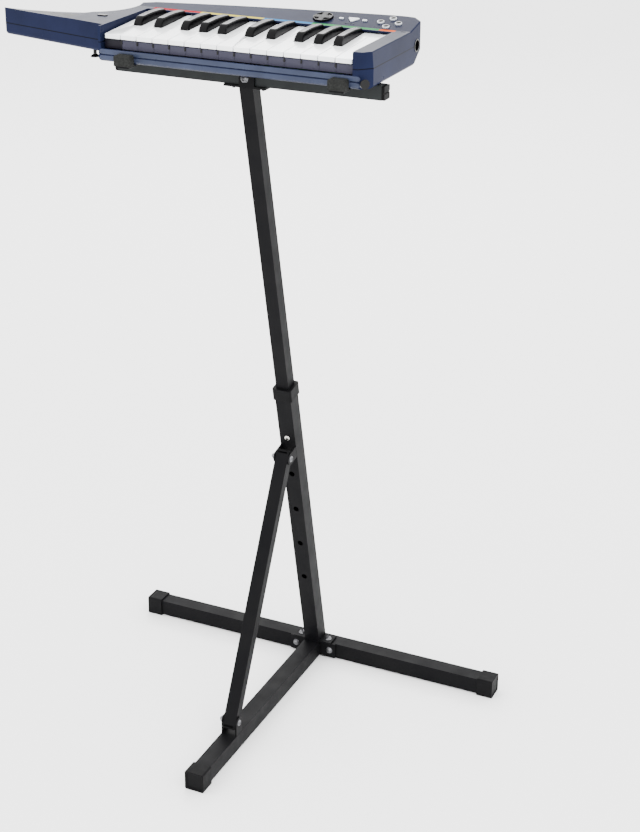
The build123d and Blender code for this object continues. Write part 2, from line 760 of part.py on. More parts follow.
with BuildPart() as lower_shell:
    add(body_base.part)
    add(neck_base.part)
    add(lower_cavity.part, mode=Mode.SUBTRACT)
    add(neck_cavity.part, mode=Mode.SUBTRACT)
    add(box_between((-margin, -90, bead_top), (well_right, rail_gap, 90)), mode=Mode.SUBTRACT)
    groove_low = (left - 9, -body_front - 9, bead_top - 7.6)
    add(box_between(groove_low, (right - 12, 0.7 - body_front, bead_top - 6.6)), mode=Mode.SUBTRACT)
    with BuildSketch(KEYS.offset(floor_in)):
        with Locations(*frame_posts):
            Circle(post_d / 2)
    extrude(amount=frame_low - floor_in)
    with BuildSketch(KEYS.offset(floor_in)):
        with Locations(*board_posts):
            Circle(post_d / 2)
    extrude(amount=board_z - floor_in)
    with BuildSketch(KEYS.offset(-body_drop)):
        with Locations(*frame_posts):
            Circle(screw_head_d / 2 + 0.2)
    extrude(amount=screw_head_h + 0.2, mode=Mode.SUBTRACT)
    with BuildSketch(KEYS.offset(-body_drop)):
        with Locations(*frame_posts):
            Circle(screw_d / 2 + 0.1)
    extrude(amount=14, mode=Mode.SUBTRACT)
    with BuildSketch(KEYS.offset(floor_in)):
        with Locations((bay_x + cover_travel / 2, bay_y)):
            Rectangle(bay_rim_x, bay_rim_y)
    extrude(amount=1.5)
    with BuildSketch(KEYS.offset(-body_drop)):
        with Locations((bay_x, bay_y)):
            Rectangle(*bay_size)
    extrude(amount=8, mode=Mode.SUBTRACT)
    with BuildSketch(KEYS.offset(-body_drop)):
        with Locations((bay_x + cover_travel / 2, bay_y)):
            Rectangle(bay_size[0] + 2 * cover_lip + cover_travel + 2 * cover_gap,
                      bay_size[1] + 2 * cover_lip + 2 * cover_gap)
    extrude(amount=cover_thick, mode=Mode.SUBTRACT)
    with BuildSketch(SIDE.offset(4)):
        Circle(socket_d / 2 + socket_clearance)
    extrude(amount=-socket_depth - 8, mode=Mode.SUBTRACT)
finish(lower_shell.part, "lower_shell")

with BuildPart() as battery_cover:
    with BuildSketch(KEYS.offset(-body_drop)):
        with Locations((bay_x, bay_y)):
            Rectangle(bay_size[0] + 2 * cover_lip, bay_size[1] + 2 * cover_lip)
    extrude(amount=cover_thick)
    with BuildSketch(KEYS.offset(-body_drop)):
        with Locations((bay_x - bay_size[0] / 2 + 6, bay_y)):
            with GridLocations(3, 1, 3, 1):
                SlotOverall(16, 1.4, rotation=90)
    extrude(amount=0.7, mode=Mode.SUBTRACT)
finish(battery_cover.part, "battery_cover")

cell_d = 14.0
cell_length = 50.0
cell_z = cover_thick - body_drop + cell_d / 2 + 0.4
with BuildPart() as batteries:
    for row in (-1, 0, 1):
        start = side_plane(bay_x - cell_length / 2)
        with BuildSketch(start):
            with Locations((bay_y + row * (cell_d + 1), cell_z)):
                Circle(cell_d / 2)
        extrude(amount=cell_length - 1)
        with BuildSketch(side_plane(bay_x + cell_length / 2 - 1)):
            with Locations((bay_y + row * (cell_d + 1), cell_z)):
                Circle(2.75)
        extrude(amount=1)
finish(batteries.part, "batteries")

with BuildPart() as circuit_board:
    middle_x = (board_posts[0][0] + board_posts[-1][0]) / 2
    middle_y = (board_posts[0][1] + board_posts[-1][1]) / 2
    with BuildSketch(KEYS.offset(board_z)):
        with Locations((middle_x, middle_y)):
            Rectangle(*board_size)
        with Locations(*board_posts):
            Circle(board_hole_d / 2, mode=Mode.SUBTRACT)
    extrude(amount=board_thick)
    with BuildSketch(KEYS.offset(board_z + board_thick)):
        for offset_x, footprint in board_parts.items():
            with Locations((middle_x + offset_x, middle_y)):
                Rectangle(*footprint)
    extrude(amount=board_part_height)
finish(circuit_board.part, "circuit_board")

with BuildPart() as case_screws:
    with BuildSketch(KEYS.offset(0.1 - body_drop)):
        with Locations(*frame_posts):
            Circle(screw_head_d / 2)
    extrude(amount=screw_head_h)
    with BuildSketch(KEYS.offset(0.1 - body_drop + screw_head_h)):
        with Locations(*frame_posts):
            Circle(screw_d / 2)
    extrude(amount=11)
finish(case_screws.part, "case_screws")

with BuildPart() as colour_strip:
    high = (strip_right, strip_front + strip_width, body_top)
    add(box_between((strip_left, strip_front, body_top - strip_depth), high))
finish(colour_strip.part, "colour_strip")

with BuildPart() as touch_strip:
    add(touch_slab(0.0, 0.0, touch_depth))
finish(touch_strip.part, "touch_strip")

with BuildPart() as side_socket:
    with BuildSketch(SIDE.offset(0.6)):
        Circle(socket_d / 2)
    extrude(amount=-socket_depth)
    with BuildSketch(SIDE.offset(0.6)):
        Circle(socket_d / 2 - 1.6)
    extrude(amount=-socket_depth + 3, mode=Mode.SUBTRACT)
    with BuildSketch(SIDE.offset(3.6 - socket_depth)):
        for turn in (0, 45, 90, 135, 180):
            with Locations((4.6 * cos(radians(turn)), 4.6 * sin(radians(turn)))):
                Circle(0.8)
    extrude(amount=-2, mode=Mode.SUBTRACT)
finish(side_socket.part, "side_socket")

neck_peg = (-27.0, 18.0)
front_peg_z = -27.0
facet_dir = Vector(1, -1, 0).normalized()  # square to the casing's cut front corner
peg_spots = [
    Plane(origin=(key_x + neck_peg[0], key_y + neck_peg[1], key_z - neck_drop), z_dir=(0, 0, -1)),
    Plane(origin=(key_x + right - 10.5, key_y - 1.5, key_z + front_peg_z), z_dir=facet_dir),
]
with BuildPart() as strap_pegs:
    for spot in peg_spots:
        with BuildSketch(spot):
            Circle(peg_d / 2)
        extrude(amount=peg_length)
        with BuildSketch(spot.offset(peg_length - 4)):
            Circle(peg_d / 2)
        with BuildSketch(spot.offset(peg_length - 1.2)):
            Circle(peg_head_d / 2)
        loft()
        with BuildSketch(spot.offset(peg_length - 1.2)):
            Circle(peg_head_d / 2)
        extrude(amount=1.2)
finish(strap_pegs.part, "strap_pegs")


def press_button(plane, outline, rise, name):
    """Button cap that stands out of the panel, with a flange under the panel's skin."""
    with BuildPart() as button:
        with BuildSketch(plane.offset(-wall)):
            outline(0.0)
        extrude(amount=wall + rise)
        fillet(button.faces().sort_by(Axis(plane.origin, plane.z_dir))[-1].edges(), min(0.8, rise / 2))
        with BuildSketch(plane.offset(-wall - 0.1)):
            outline(flange_extra)
        extrude(amount=-flange_thick)
        with BuildSketch(plane.offset(-wall - 0.1)):
            outline(0.0)
        extrude(amount=0.1)
    finish(button.part, name)


def disc(diameter):
    """Round outline, grown by a margin when it is drawn."""
    return lambda grow: Circle(diameter / 2 + grow)


def slot(size):
    """Long round-ended outline, grown by a margin when it is drawn."""
    return lambda grow: SlotOverall(size[0] + 2 * grow, size[1] + 2 * grow)


for name, spot in face_buttons.items():
    press_button(on_panel(*spot), disc(button_d), button_rise, name)
press_button(on_panel(guide_x, guide_y), rounded_triangle, 1.0, "guide_button")
press_button(on_panel(back_x, guide_y), slot(small_button), small_rise, "back_button")
press_button(on_panel(start_x, guide_y), slot(small_button), small_rise, "start_button")
neck_button_face = Plane(origin=(key_x + neck_button_x, key_y + neck_button_y, key_z + neck_top))
press_button(neck_button_face, slot(neck_button_size), small_rise, "neck_button")

with BuildPart() as dpad:
    with BuildSketch(on_panel(pad_x, pad_y, -1.5)):
        Circle(pad_d / 2)
    extrude(amount=1.5 + pad_height)
    with BuildSketch(on_panel(pad_x, pad_y, pad_height)):
        Circle(pad_d / 2 - 1.2)
        Rectangle(7.4, pad_d - 2.4, mode=Mode.SUBTRACT)
        Rectangle(pad_d - 2.4, 7.4, mode=Mode.SUBTRACT)
    extrude(amount=-1.4, mode=Mode.SUBTRACT)
    with BuildSketch(on_panel(pad_x, pad_y, -1.5)):
        Circle(2)
    extrude(amount=-1.6)
finish(dpad.part, "dpad")

with BuildPart() as dpad_pivot:
    with BuildSketch(on_panel(pad_x, pad_y, -3.6)):
        Rectangle(6, 6)
    extrude(amount=-1.8)
finish(dpad_pivot.part, "dpad_pivot")

# ---- key frame with its hinge bar ----
rail_y = 2 + rail_gap
rib_thick = 1.6
rib_clearance = 0.4
frame_over = 1.6             # frame beyond the outer keys
rib_spots = [-0.5, 3 * white_pitch, 7 * white_pitch, 10 * white_pitch, 14 * white_pitch]
rib_spots.append(keys_width + 0.5)
with BuildPart() as key_frame:
    frame_top = frame_low + frame_thick
    far_x = keys_width + frame_over
    add(box_between((-frame_over, rail_y, frame_low), (far_x, hinge_y + 2.5, frame_top)))
    add(box_between((-frame_over, rail_y, bead_top - 0.4), (far_x, rail_y + rail_thick, rail_top)))
    for boundary in range(1, white_count):
        x = boundary * white_pitch
        add(box_between((x - 0.6, rail_y - 0.7, bead_top), (x + 0.6, rail_y, rail_top)))
    for x in rib_spots:
        low = (x - rib_thick / 2, hinge_y - 6, frame_low)
        add(box_between(low, (x + rib_thick / 2, hinge_y + 2.5, hinge_z + 2.5)))
    with BuildSketch(side_plane(rib_spots[0] - rib_thick / 2)):
        with Locations((hinge_y, hinge_z)):
            Circle(hinge_d / 2)
    extrude(amount=keys_width + 1 + rib_thick)
finish(key_frame.part, "key_frame")

# ---- keys ----
black_shifts = {1: -3.5, 2: 3.5, 4: -3.8, 5: 0.0, 6: 3.8}
black_centres = []
for octave in range(octaves):
    for boundary, shift in black_shifts.items():
        black_centres.append((octave * octave_whites + boundary) * white_pitch + shift)
notch = black_width / 2 + 0.8
notch_front = black_setback - 1.0


def tail_top():
    """Points of a key's top from the panel's edge to its far end, stepped down under the panel."""
    edge = key_reach + wall
    step = edge + 3.0
    return [
        (edge, edge * rise), (step, step * rise - tail_drop), (key_end, key_end * rise - tail_drop)
    ]


def key_bearing(x, width):
    """Cut the hinge bar's bearing and the room for the frame's ribs in a key."""
    with BuildSketch(side_plane(x - 1)) as bearing:
        with Locations((hinge_y, hinge_z)):
            Circle(hinge_d / 2 + hinge_clearance)
    extrude(bearing.sketch, amount=width + 2, mode=Mode.SUBTRACT)
    for rib in rib_spots:
        reach = rib_thick / 2 + rib_clearance
        low = (rib - reach, hinge_y - 8, -60)
        add(box_between(low, (rib + reach, key_end + 9, 60)), mode=Mode.SUBTRACT)


def key_hollow(x0, x1, y0, y1, plate_thick=key_plate):
    """Hollow a key from below between two widths and two depths, under its top plate."""
    with BuildSketch(side_plane(x0)) as hollow:
        with BuildLine():
            Polyline((y0, -40), (y0, y0 * rise - plate_thick), (y1, y1 * rise - plate_thick), (y1, -40),
                     close=True)
        make_face()
    extrude(hollow.sketch, amount=x1 - x0, mode=Mode.SUBTRACT)


def white_key(index, name):
    """White key, notched for its black neighbours and hollow underneath."""
    x0 = index * white_pitch + key_gap / 2
    x1 = (index + 1) * white_pitch - key_gap / 2
    tail_left = x0
    tail_right = x1
    for centre in black_centres:
        if x0 < centre + notch < x1:
            tail_left = centre + notch
        if x0 < centre - notch < x1:
            tail_right = centre - notch
    with BuildPart() as key:
        with BuildSketch(side_plane(x0)):
            with BuildLine():
                Polyline((0, 0), *tail_top(), (key_end, key_end * rise - key_depth),
                         (0, -key_lip), close=True)
            make_face()
        extrude(amount=x1 - x0)
        lip_edges = key.edges().group_by(Axis.Y)[0]
        fillet(lip_edges.filter_by(lambda e: e.center().Z > key_z - key_lip + 0.1), 0.8)
        for edge_low, edge_high in ((x0 - 1, tail_left), (tail_right, x1 + 1)):
            if edge_high - edge_low > 1.001:
                add(box_between((edge_low, notch_front, -60), (edge_high, key_end + 9, 60)),
                    mode=Mode.SUBTRACT)
        key_hollow(x0 - 1, x1 + 1, 2.0, rail_y + rail_thick + 1.3, lip_plate)
        key_hollow(x0 + key_wall, x1 - key_wall, 2.0, notch_front - key_wall)
        key_hollow(tail_left + key_wall, tail_right - key_wall, notch_front - 3, hinge_y - 10)
        key_bearing(x0, x1 - x0)
    finish(key.part, name)


def black_key(centre, name):
    """Black key: a raised, tapering block in front and a low tail under the panel."""
    x0 = centre - black_width / 2
    front_top = (black_setback + black_slope) * rise + black_rise
    low = black_setback * rise - key_lip
    with BuildPart() as key:
        with BuildSketch(KEYS.offset(black_setback * rise)):
            with Locations((centre, (black_setback + key_end) / 2)):
                Rectangle(black_width, key_end - black_setback)
        extrude(amount=30, taper=8)
        with BuildSketch(side_plane(x0 - 5)):
            with BuildLine():
                Polyline((black_setback - 5, -20), (black_setback - 5, 2), (black_setback, 3.6),
                         (black_setback + black_slope, front_top),
                         (key_reach - 0.9, front_top - black_drop), (key_reach - 0.9, -20), close=True)
            make_face()
        extrude(amount=black_width + 10, mode=Mode.INTERSECT)
        fillet(key.edges().filter_by(lambda e: e.center().Z > key_z + front_top - black_drop / 2 - 1.6
                                     and e.center().Y < key_y + key_reach - 2
                                     and e.center().Y > key_y + black_setback + 2), 1.0)
        with BuildSketch(side_plane(x0)):
            with BuildLine():
                Polyline((black_setback, low), (black_setback, black_setback * rise), *tail_top(),
                         (key_end, key_end * rise - key_depth), close=True)
            make_face()
        extrude(amount=black_width)
        key_hollow(x0 + key_wall, x0 + black_width - key_wall, black_setback + 2, hinge_y - 10)
        key_bearing(x0, black_width)
    finish(key.part, name)


white_index = 0
black_index = 0
for number in range(1, white_count + len(black_centres) + 1):
    note = (number - 1) % 12
    if note in (1, 3, 6, 8, 10):
        black_key(black_centres[black_index], f"key_{number:02d}")
        black_index += 1
    else:
        white_key(white_index, f"key_{number:02d}")
        white_index += 1
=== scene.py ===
"""Looks of a strap-on keyboard controller lying on a single-post floor stand."""
import json
import math

import bmesh
import bpy
import numpy as np
from mathutils import Matrix, Vector


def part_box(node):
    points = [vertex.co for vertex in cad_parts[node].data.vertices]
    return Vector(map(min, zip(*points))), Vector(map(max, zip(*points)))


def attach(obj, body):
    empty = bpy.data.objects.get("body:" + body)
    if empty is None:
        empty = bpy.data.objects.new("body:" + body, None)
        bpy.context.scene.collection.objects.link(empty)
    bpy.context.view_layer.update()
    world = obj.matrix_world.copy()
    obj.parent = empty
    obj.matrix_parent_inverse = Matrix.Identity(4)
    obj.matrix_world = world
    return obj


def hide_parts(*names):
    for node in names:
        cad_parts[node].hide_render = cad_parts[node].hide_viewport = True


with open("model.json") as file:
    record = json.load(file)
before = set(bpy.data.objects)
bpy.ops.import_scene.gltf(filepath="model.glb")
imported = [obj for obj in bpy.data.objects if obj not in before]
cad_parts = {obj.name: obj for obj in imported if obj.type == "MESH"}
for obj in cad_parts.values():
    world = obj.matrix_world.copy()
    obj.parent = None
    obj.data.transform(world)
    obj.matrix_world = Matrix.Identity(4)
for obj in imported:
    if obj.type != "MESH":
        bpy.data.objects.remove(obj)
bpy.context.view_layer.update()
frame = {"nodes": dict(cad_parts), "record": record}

bl_info = {
    "name": "Keyboard on floor stand",
    "version": (1, 0, 0),
    "blender": (4, 5, 0),
    "location": "3D View > Sidebar > Keyboard",
    "description": "Finishes and fine pieces for a strap-on keyboard and its stand",
    "category": "Object",
}

MM = 0.001
COLUMNS = 48                 # points round one outline; divides into 4 corners and 6 flats
RECORD = frame["record"]
SLOT_OF = {s["node"]: s["material_slot"] for s in RECORD["subparts"]}
BODY_OF = {n: body for body, members in RECORD["behaviour"]["bodies"].items() for n in members}
NOTES = [f"key_{i:02d}" for i in range(1, 26)]
SHARPS = (1, 3, 6, 8, 10)    # the black notes of an octave that starts on its first white one
WHITE_KEYS = [n for i, n in enumerate(NOTES) if i % 12 not in SHARPS]
BLACK_KEYS = [n for i, n in enumerate(NOTES) if i % 12 in SHARPS]
FACE_BUTTONS = ["face_button_left", "face_button_right", "face_button_front", "face_button_back"]


def linear(code):
    """Linear red, green, blue and alpha of an sRGB hex colour."""
    srgb = np.array([int(code[i:i + 2], 16) / 255 for i in (1, 3, 5)])
    rgb = np.where(srgb <= 0.04045, srgb / 12.92, ((srgb + 0.055) / 1.055) ** 2.4)
    return (*[float(c) for c in rgb], 1.0)


def colour_property(name, description, code):
    """A colour that a user can change, with its default given as sRGB hex."""
    return bpy.props.FloatVectorProperty(
        name=name, description=description, subtype="COLOR", size=4, min=0, max=1,
        default=linear(code))


def length_property(name, description, millimetres):
    """A length that a user can change, with its default given in millimetres."""
    return bpy.props.FloatProperty(
        name=name, description=description, unit="LENGTH", subtype="DISTANCE", min=0,
        precision=5, default=millimetres * MM)


CASING_DEPTH = 35.4 * MM      # from the white keys' front edges down to the casing's floor
LIP_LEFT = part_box("key_01")[0].x - 0.5 * MM
LIP_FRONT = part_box("key_01")[0].y
LIP_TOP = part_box("lower_shell")[0].z + CASING_DEPTH
KEYS_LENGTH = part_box("key_25")[1].x + 0.5 * MM - LIP_LEFT
WHITE_PITCH = KEYS_LENGTH / len(WHITE_KEYS)
PANEL_SLOPE = math.radians(12.7)
PANEL_FLAT = 130 * MM         # from the keys' fronts to the start of the panel's slope
CASING_TOP = 11 * MM          # above the white keys' front edges
PANEL_UP = Vector((0, -math.sin(PANEL_SLOPE), math.cos(PANEL_SLOPE)))
SEAM_SHADE_FULL, SEAM_SHADE_END = 0.35 * MM, 0.75 * MM    # from the shells' seam: painted shade in full, and where it ends
CHEEK_SHADOW_EDGE = (23.2 * MM, 23.8 * MM)   # where the left cheek's painted shadow on the rail fades out, from the first key's left side
STRIP_LENGTH = 360.0          # colour strip, in millimetres from the first key's left side
CASING_FRONT = -6.0           # casing's front face, in millimetres from the keys' fronts
BEADS = ((-22.2, 3.3, 1.0), (-30.2, 3.1, 0.8))    # height, half height and share of the bulge
BEAD_ENDS, BEAD_EASING = (-5.5, 366.0), 5 * MM
RAIL_FRONT, TAB_MIDDLE = 2.72, -10.3   # rail's front face and the height of the black tabs that stand in for the shade below the key gaps, millimetres
TAB_WIDTH, TAB_HEIGHT, TAB_CORNER = 2.2 * MM, 4.8 * MM, 0.9 * MM
TAB_SUNK, TAB_PROUD, TAB_EASING = -0.6 * MM, 0.45 * MM, 0.3 * MM
BLOCK_END = 117.6 * MM        # black key's block, from the white keys' fronts to its rear end
KEY_RISE, KEY_TAPER = math.radians(3.0), math.radians(8.0)
BLOCK_NOSE, BLOCK_POWER = 0.14, 0.22   # nose's share of the block, and its section's power
LAMP_RADIUS, LAMP_PITCH, LAMP_ROW = 1.1 * MM, 3.6, 137.2    # pitch and row in millimetres
BRACE_WIDTH, BRACE_DEPTH = 20 * MM, 15.0 * MM
PLUG_CORNER, PLUG_SUNK, PLUG_PROUD, PLUG_EASING = 2.4 * MM, -4 * MM, 2.5 * MM, 1.2 * MM
FLOOR_REACH = 14.0
SURROUND_STRENGTH = 3.4
SOFTBOXES = (                 # name, middle, aim, width, height and power
    ("back_softbox", (-1.55, 3.05, 2.65), (0, -0.2, 1.0), 2.4, 0.8, 75),
    ("key_softbox", (2.2, -2.4, 3.2), (0, -0.2, 0.8), 2.0, 2.0, 70),
    ("fill_softbox", (-3.0, -2.2, 2.4), (0, -0.2, 0.7), 2.4, 2.4, 40),
)
CAMERA_PLACE, CAMERA_SHIFT = (1.01432, -2.19804, 1.51627), (0.0167, -0.0362)
CAMERA_TURN, CAMERA_DIP = math.radians(25.177), math.radians(23.474)


def at_keys(x, y, z):
    """A point given in millimetres from the top of the lowest key's left front corner."""
    return Vector((LIP_LEFT + x * MM, LIP_FRONT + y * MM, LIP_TOP + z * MM))


def on_panel(x, y, height=0.0):
    """A point on the casing's top or its sloping panel, in millimetres, raised square to it."""
    rise = CASING_TOP + max(0.0, y * MM - PANEL_FLAT) * math.tan(PANEL_SLOPE)
    return at_keys(x, y, 0) + Vector((0, 0, rise)) + PANEL_UP * height * MM


# ---- surfaces ----

def round_outline(radius):
    """A circle: radius times (cos t, sin t), with t once round."""
    t = np.linspace(0, 2 * np.pi, COLUMNS, endpoint=False)
    return radius * np.stack([np.cos(t), np.sin(t)], 1)


def hex_outline(half_flats):
    """A hexagon: at t the radius is half the width over its flats, divided by the cosine of
    t's angle from the middle of its flat."""
    t = np.linspace(0, 2 * np.pi, COLUMNS, endpoint=False)
    from_flat = (t % (np.pi / 3)) - np.pi / 6
    return (half_flats / np.cos(from_flat))[:, None] * np.stack([np.cos(t), np.sin(t)], 1)


def oblong_outline(width, depth, radius):
    """A rounded rectangle: in each quarter a corner's centre plus radius times (cos t, sin t)."""
    quarter = np.arange(4)[:, None]
    t = quarter * np.pi / 2 + np.linspace(0, np.pi / 2, COLUMNS // 4)[None, :]
    middle = (quarter + 0.5) * np.pi / 2
    x = np.sign(np.cos(middle)) * (width / 2 - radius) + radius * np.cos(t)
    y = np.sign(np.sin(middle)) * (depth / 2 - radius) + radius * np.sin(t)
    return np.stack([x.ravel(), y.ravel()], 1)


def place(origin, along, across):
    """3 by 4 matrix that takes local x to across and local z to along, from an origin."""
    z = Vector(along).normalized()
    x = Vector(across)
    x = (x - z * x.dot(z)).normalized()
    y = z.cross(x)
    return np.column_stack([x, y, z, Vector(origin)])


def grid_mesh(name, points, close_ends=True):
    """Mesh of a grid of points, rows by columns, whose columns run once round and close.
    Rows run so that round times along points outwards, and the end rows are closed faces."""
    rows, columns = points.shape[:2]
    index = np.arange(rows * columns).reshape(rows, columns)
    right = np.roll(index, -1, axis=1)
    quads = np.stack([index[:-1], right[:-1], right[1:], index[1:]], -1).reshape(-1, 4)
    faces = quads.tolist()
    if close_ends:
        faces += [index[0][::-1].tolist(), index[-1].tolist()]
    mesh = bpy.data.meshes.new(name)
    mesh.from_pydata(points.reshape(-1, 3), [], faces)
    mesh.validate()
    mesh.shade_smooth()
    return mesh


def turned(name, where, rows):
    """Solid whose cross-section at each height is an outline: rows are (outline, height) from
    its underside to its top, and a point is origin + x across + y sideways + height along."""
    local = np.stack([np.column_stack([o, np.full(COLUMNS, h)]) for o, h in rows])
    points = local @ where[:, :3].T + where[:, 3]
    return grid_mesh(name, points)


def eased(low, high, radius, steps=4):
    """(inset, height) pairs of a side from low to high with both rims rounded by quarter circles:
    inset is radius (1 - cos t) and height runs radius (1 - sin t) in from each end."""
    t = np.linspace(np.pi / 2, 0, steps + 1)
    bottom = [(radius * (1 - math.cos(a)), low + radius * (1 - math.sin(a))) for a in t]
    top = [(i, high + low - h) for i, h in reversed(bottom)]
    return bottom + top


# ---- pieces ----

def piece(name, mesh, finish):
    """A new object with one finish, at the origin with its place in its mesh."""
    obj = bpy.data.objects.new(name, mesh)
    bpy.context.scene.collection.objects.link(obj)
    mesh.materials.clear()
    mesh.materials.append(finish)
    return obj


def stands_for(obj, node):
    """The piece takes a CAD node's place and body, and the node is hidden."""
    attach(obj, BODY_OF[node])
    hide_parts(node)
    return obj


def detail_on(obj, node):
    """The piece is a detail on a CAD node, and keeps that node's body."""
    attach(obj, BODY_OF[node])
    return obj


def joined(name, meshes):
    """One mesh of several."""
    work = bmesh.new()
    for mesh in meshes:
        work.from_mesh(mesh)
        bpy.data.meshes.remove(mesh)
    result = bpy.data.meshes.new(name)
    work.to_mesh(result)
    work.free()
    result.shade_smooth()
    return result


def merged(node):
    """A node's mesh in a bmesh, with its loose triangles joined."""
    work = bmesh.new()
    work.from_mesh(frame["nodes"][node].data)
    bmesh.ops.remove_doubles(work, verts=work.verts, dist=2e-6)
    return work


def merged_copy(node, whole=True):
    """A node's mesh with its flat faces made whole, or kept as triangles where a flat face
    touches itself and would fold over when it is made whole."""
    work = merged(node)
    if whole:
        bmesh.ops.dissolve_limit(
            work, angle_limit=math.radians(0.6), verts=work.verts, edges=work.edges)
    mesh = bpy.data.meshes.new(node)
    work.to_mesh(mesh)
    work.free()
    mesh.shade_smooth()
    return mesh


def islands(node):
    """The points of each separate solid of a node, one array each: every point takes the lowest
    label along its edges until no label changes."""
    work = merged(node)
    mesh = bpy.data.meshes.new(node)
    work.to_mesh(mesh)
    work.free()
    points = np.empty(len(mesh.vertices) * 3, np.float32)
    mesh.vertices.foreach_get("co", points)
    points = points.reshape(-1, 3).astype(float)
    ends = np.empty(len(mesh.edges) * 2, np.int32)
    mesh.edges.foreach_get("vertices", ends)
    ends = ends.reshape(-1, 2)
    bpy.data.meshes.remove(mesh)
    label = np.arange(len(points))
    while True:
        lowest = label[ends].min(1)
        next_label = label.copy()
        np.minimum.at(next_label, ends[:, 0], lowest)
        np.minimum.at(next_label, ends[:, 1], lowest)
        if (next_label == label).all():
            return [points[label == l] for l in np.unique(label)]
        label = next_label


def dome(radius, height, low=0.0, steps=6, share=0.96):
    """(radius, height) pairs of a shallow dome: radius cos t, and height sin t above its base."""
    t = np.linspace(0, share * np.pi / 2, steps)
    return [(radius * math.cos(a), low + height * math.sin(a)) for a in t]


def bar_of_ellipses(name, start, end, out, up, bulge, half_height, ease):
    """A long bead: at a distance s along it a point is s along + bulge cos t out + height sin t
    up, with both scaled near its ends by the square root of 1 minus how far s has gone past the
    easing length, squared."""
    start, end = Vector(start), Vector(end)
    along = (end - start).normalized()
    length = (end - start).length
    edge = np.sin(np.linspace(0, np.pi / 2, 7))
    s = np.concatenate([ease * (1 - edge[::-1]), [length / 2], length - ease * (1 - edge)])
    past = np.maximum(0, np.maximum(ease - s, s - (length - ease))) / ease
    scale = np.sqrt(np.maximum(1 - past ** 2, 0.003))
    t = np.linspace(0, 2 * np.pi, COLUMNS, endpoint=False)
    around = (np.cos(t)[:, None] * bulge * np.array(out)
              + np.sin(t)[:, None] * half_height * np.array(up))
    points = (np.array(start) + s[:, None, None] * np.array(along)
              + scale[:, None, None] * around[None, :, :])
    if Vector(out).cross(Vector(up)).dot(along) < 0:
        points = points[:, ::-1]
    return grid_mesh(name, points)


def eased_node(node, finish, radius, segments=3, angle=28, whole=True):
    """A node's own shape with its sharp edges rounded as moulding, bending or coating leaves
    them: a bevel of the given radius, with the flat faces kept flat in the shading."""
    obj = piece(f"{node}_eased", merged_copy(node, whole), finish)
    bevel = obj.modifiers.new("Rounded edges", "BEVEL")
    bevel.width = radius
    bevel.segments = segments
    bevel.limit_method = "ANGLE"
    bevel.angle_limit = math.radians(angle)
    bevel.miter_outer = "MITER_ARC"
    weighted = obj.modifiers.new("Flat faces", "WEIGHTED_NORMAL")
    weighted.keep_sharp = True
    return stands_for(obj, node)


# ---- finishes ----
# The dark finishes' specular levels are well below the 0.5 that is usual for paint and plastic.
# They keep dark pieces dark under this stage's strong pale surround; other lighting needs more.

def add_node(tree, kind, inputs=None, **settings):
    """Adds one shader node: settings are its own, inputs are constants or sockets to link."""
    made = tree.nodes.new(kind)
    for key, value in settings.items():
        setattr(made, key, value)
    for key, value in (inputs or {}).items():
        if isinstance(value, bpy.types.NodeSocket):
            tree.links.new(value, made.inputs[key])
        else:
            made.inputs[key].default_value = value
    return made


def new_finish(name, **constants):
    """A finish with one Principled surface, its constants set on the surface's own sockets, and
    object coordinates in metres. Returns material, tree, surface and coordinates."""
    finish = bpy.data.materials.new(name)
    finish.use_nodes = True
    tree = finish.node_tree
    tree.nodes.clear()
    surface = tree.nodes.new("ShaderNodeBsdfPrincipled")
    for key, value in constants.items():
        surface.inputs[key.replace("_", " ")].default_value = value
    add_node(tree, "ShaderNodeOutputMaterial", {"Surface": surface.outputs["BSDF"]})
    where = add_node(tree, "ShaderNodeTexCoord").outputs["Object"]
    return finish, tree, surface, where


def mottle(tree, where, surface, dark, light, size_mm):
    """Base colour that drifts between two shades over patches of a given size."""
    noise = add_node(tree, "ShaderNodeTexNoise",
                     {"Vector": where, "Scale": 1000 / size_mm, "Detail": 3.0, "Roughness": 0.55})
    ramp = add_node(tree, "ShaderNodeValToRGB", {"Fac": noise.outputs["Fac"]})
    ramp.color_ramp.elements[0].position = 0.3
    ramp.color_ramp.elements[1].position = 0.7
    ramp.color_ramp.elements[0].color = dark
    ramp.color_ramp.elements[1].color = light
    tree.links.new(ramp.outputs["Color"], surface.inputs["Base Color"])
    return ramp


def rub(tree, where, surface, low, high, size_mm):
    """Roughness that drifts between two values, as handling and moulding leave it."""
    noise = add_node(tree, "ShaderNodeTexNoise",
                     {"Vector": where, "Scale": 1000 / size_mm, "Detail": 4.0, "Roughness": 0.6})
    spread = add_node(tree, "ShaderNodeMapRange",
                      {"Value": noise.outputs["Fac"], "From Min": 0.3, "From Max": 0.7,
                       "To Min": low, "To Max": high})
    tree.links.new(spread.outputs["Result"], surface.inputs["Roughness"])


def grain(tree, where, surface, size_mm, depth_mm, strength=1.0, cells=False):
    """Relief of the surface: a noise or a cell pattern of a given size and depth."""
    if cells:
        pattern = add_node(tree, "ShaderNodeTexVoronoi",
                           {"Vector": where, "Scale": 1000 / size_mm}, feature="SMOOTH_F1")
        height = pattern.outputs["Distance"]
    else:
        pattern = add_node(tree, "ShaderNodeTexNoise",
                           {"Vector": where, "Scale": 1000 / size_mm, "Detail": 2.0})
        height = pattern.outputs["Fac"]
    bump = add_node(tree, "ShaderNodeBump",
                    {"Height": height, "Distance": depth_mm * MM, "Strength": strength})
    tree.links.new(bump.outputs["Normal"], surface.inputs["Normal"])


def powder_coated_steel(size):
    """Black polyester powder on steel tube: a low sheen with a fine orange peel."""
    finish, tree, surface, where = new_finish(
        "powder_coated_steel", IOR=1.5, Specular_IOR_Level=0.045)
    mottle(tree, where, surface, size.powder_dark, size.powder_light, 40)
    rub(tree, where, surface, 0.44, 0.56, 30)
    grain(tree, where, surface, 1.1, 0.05)      # orange peel, drawn a little coarse to show
    return finish


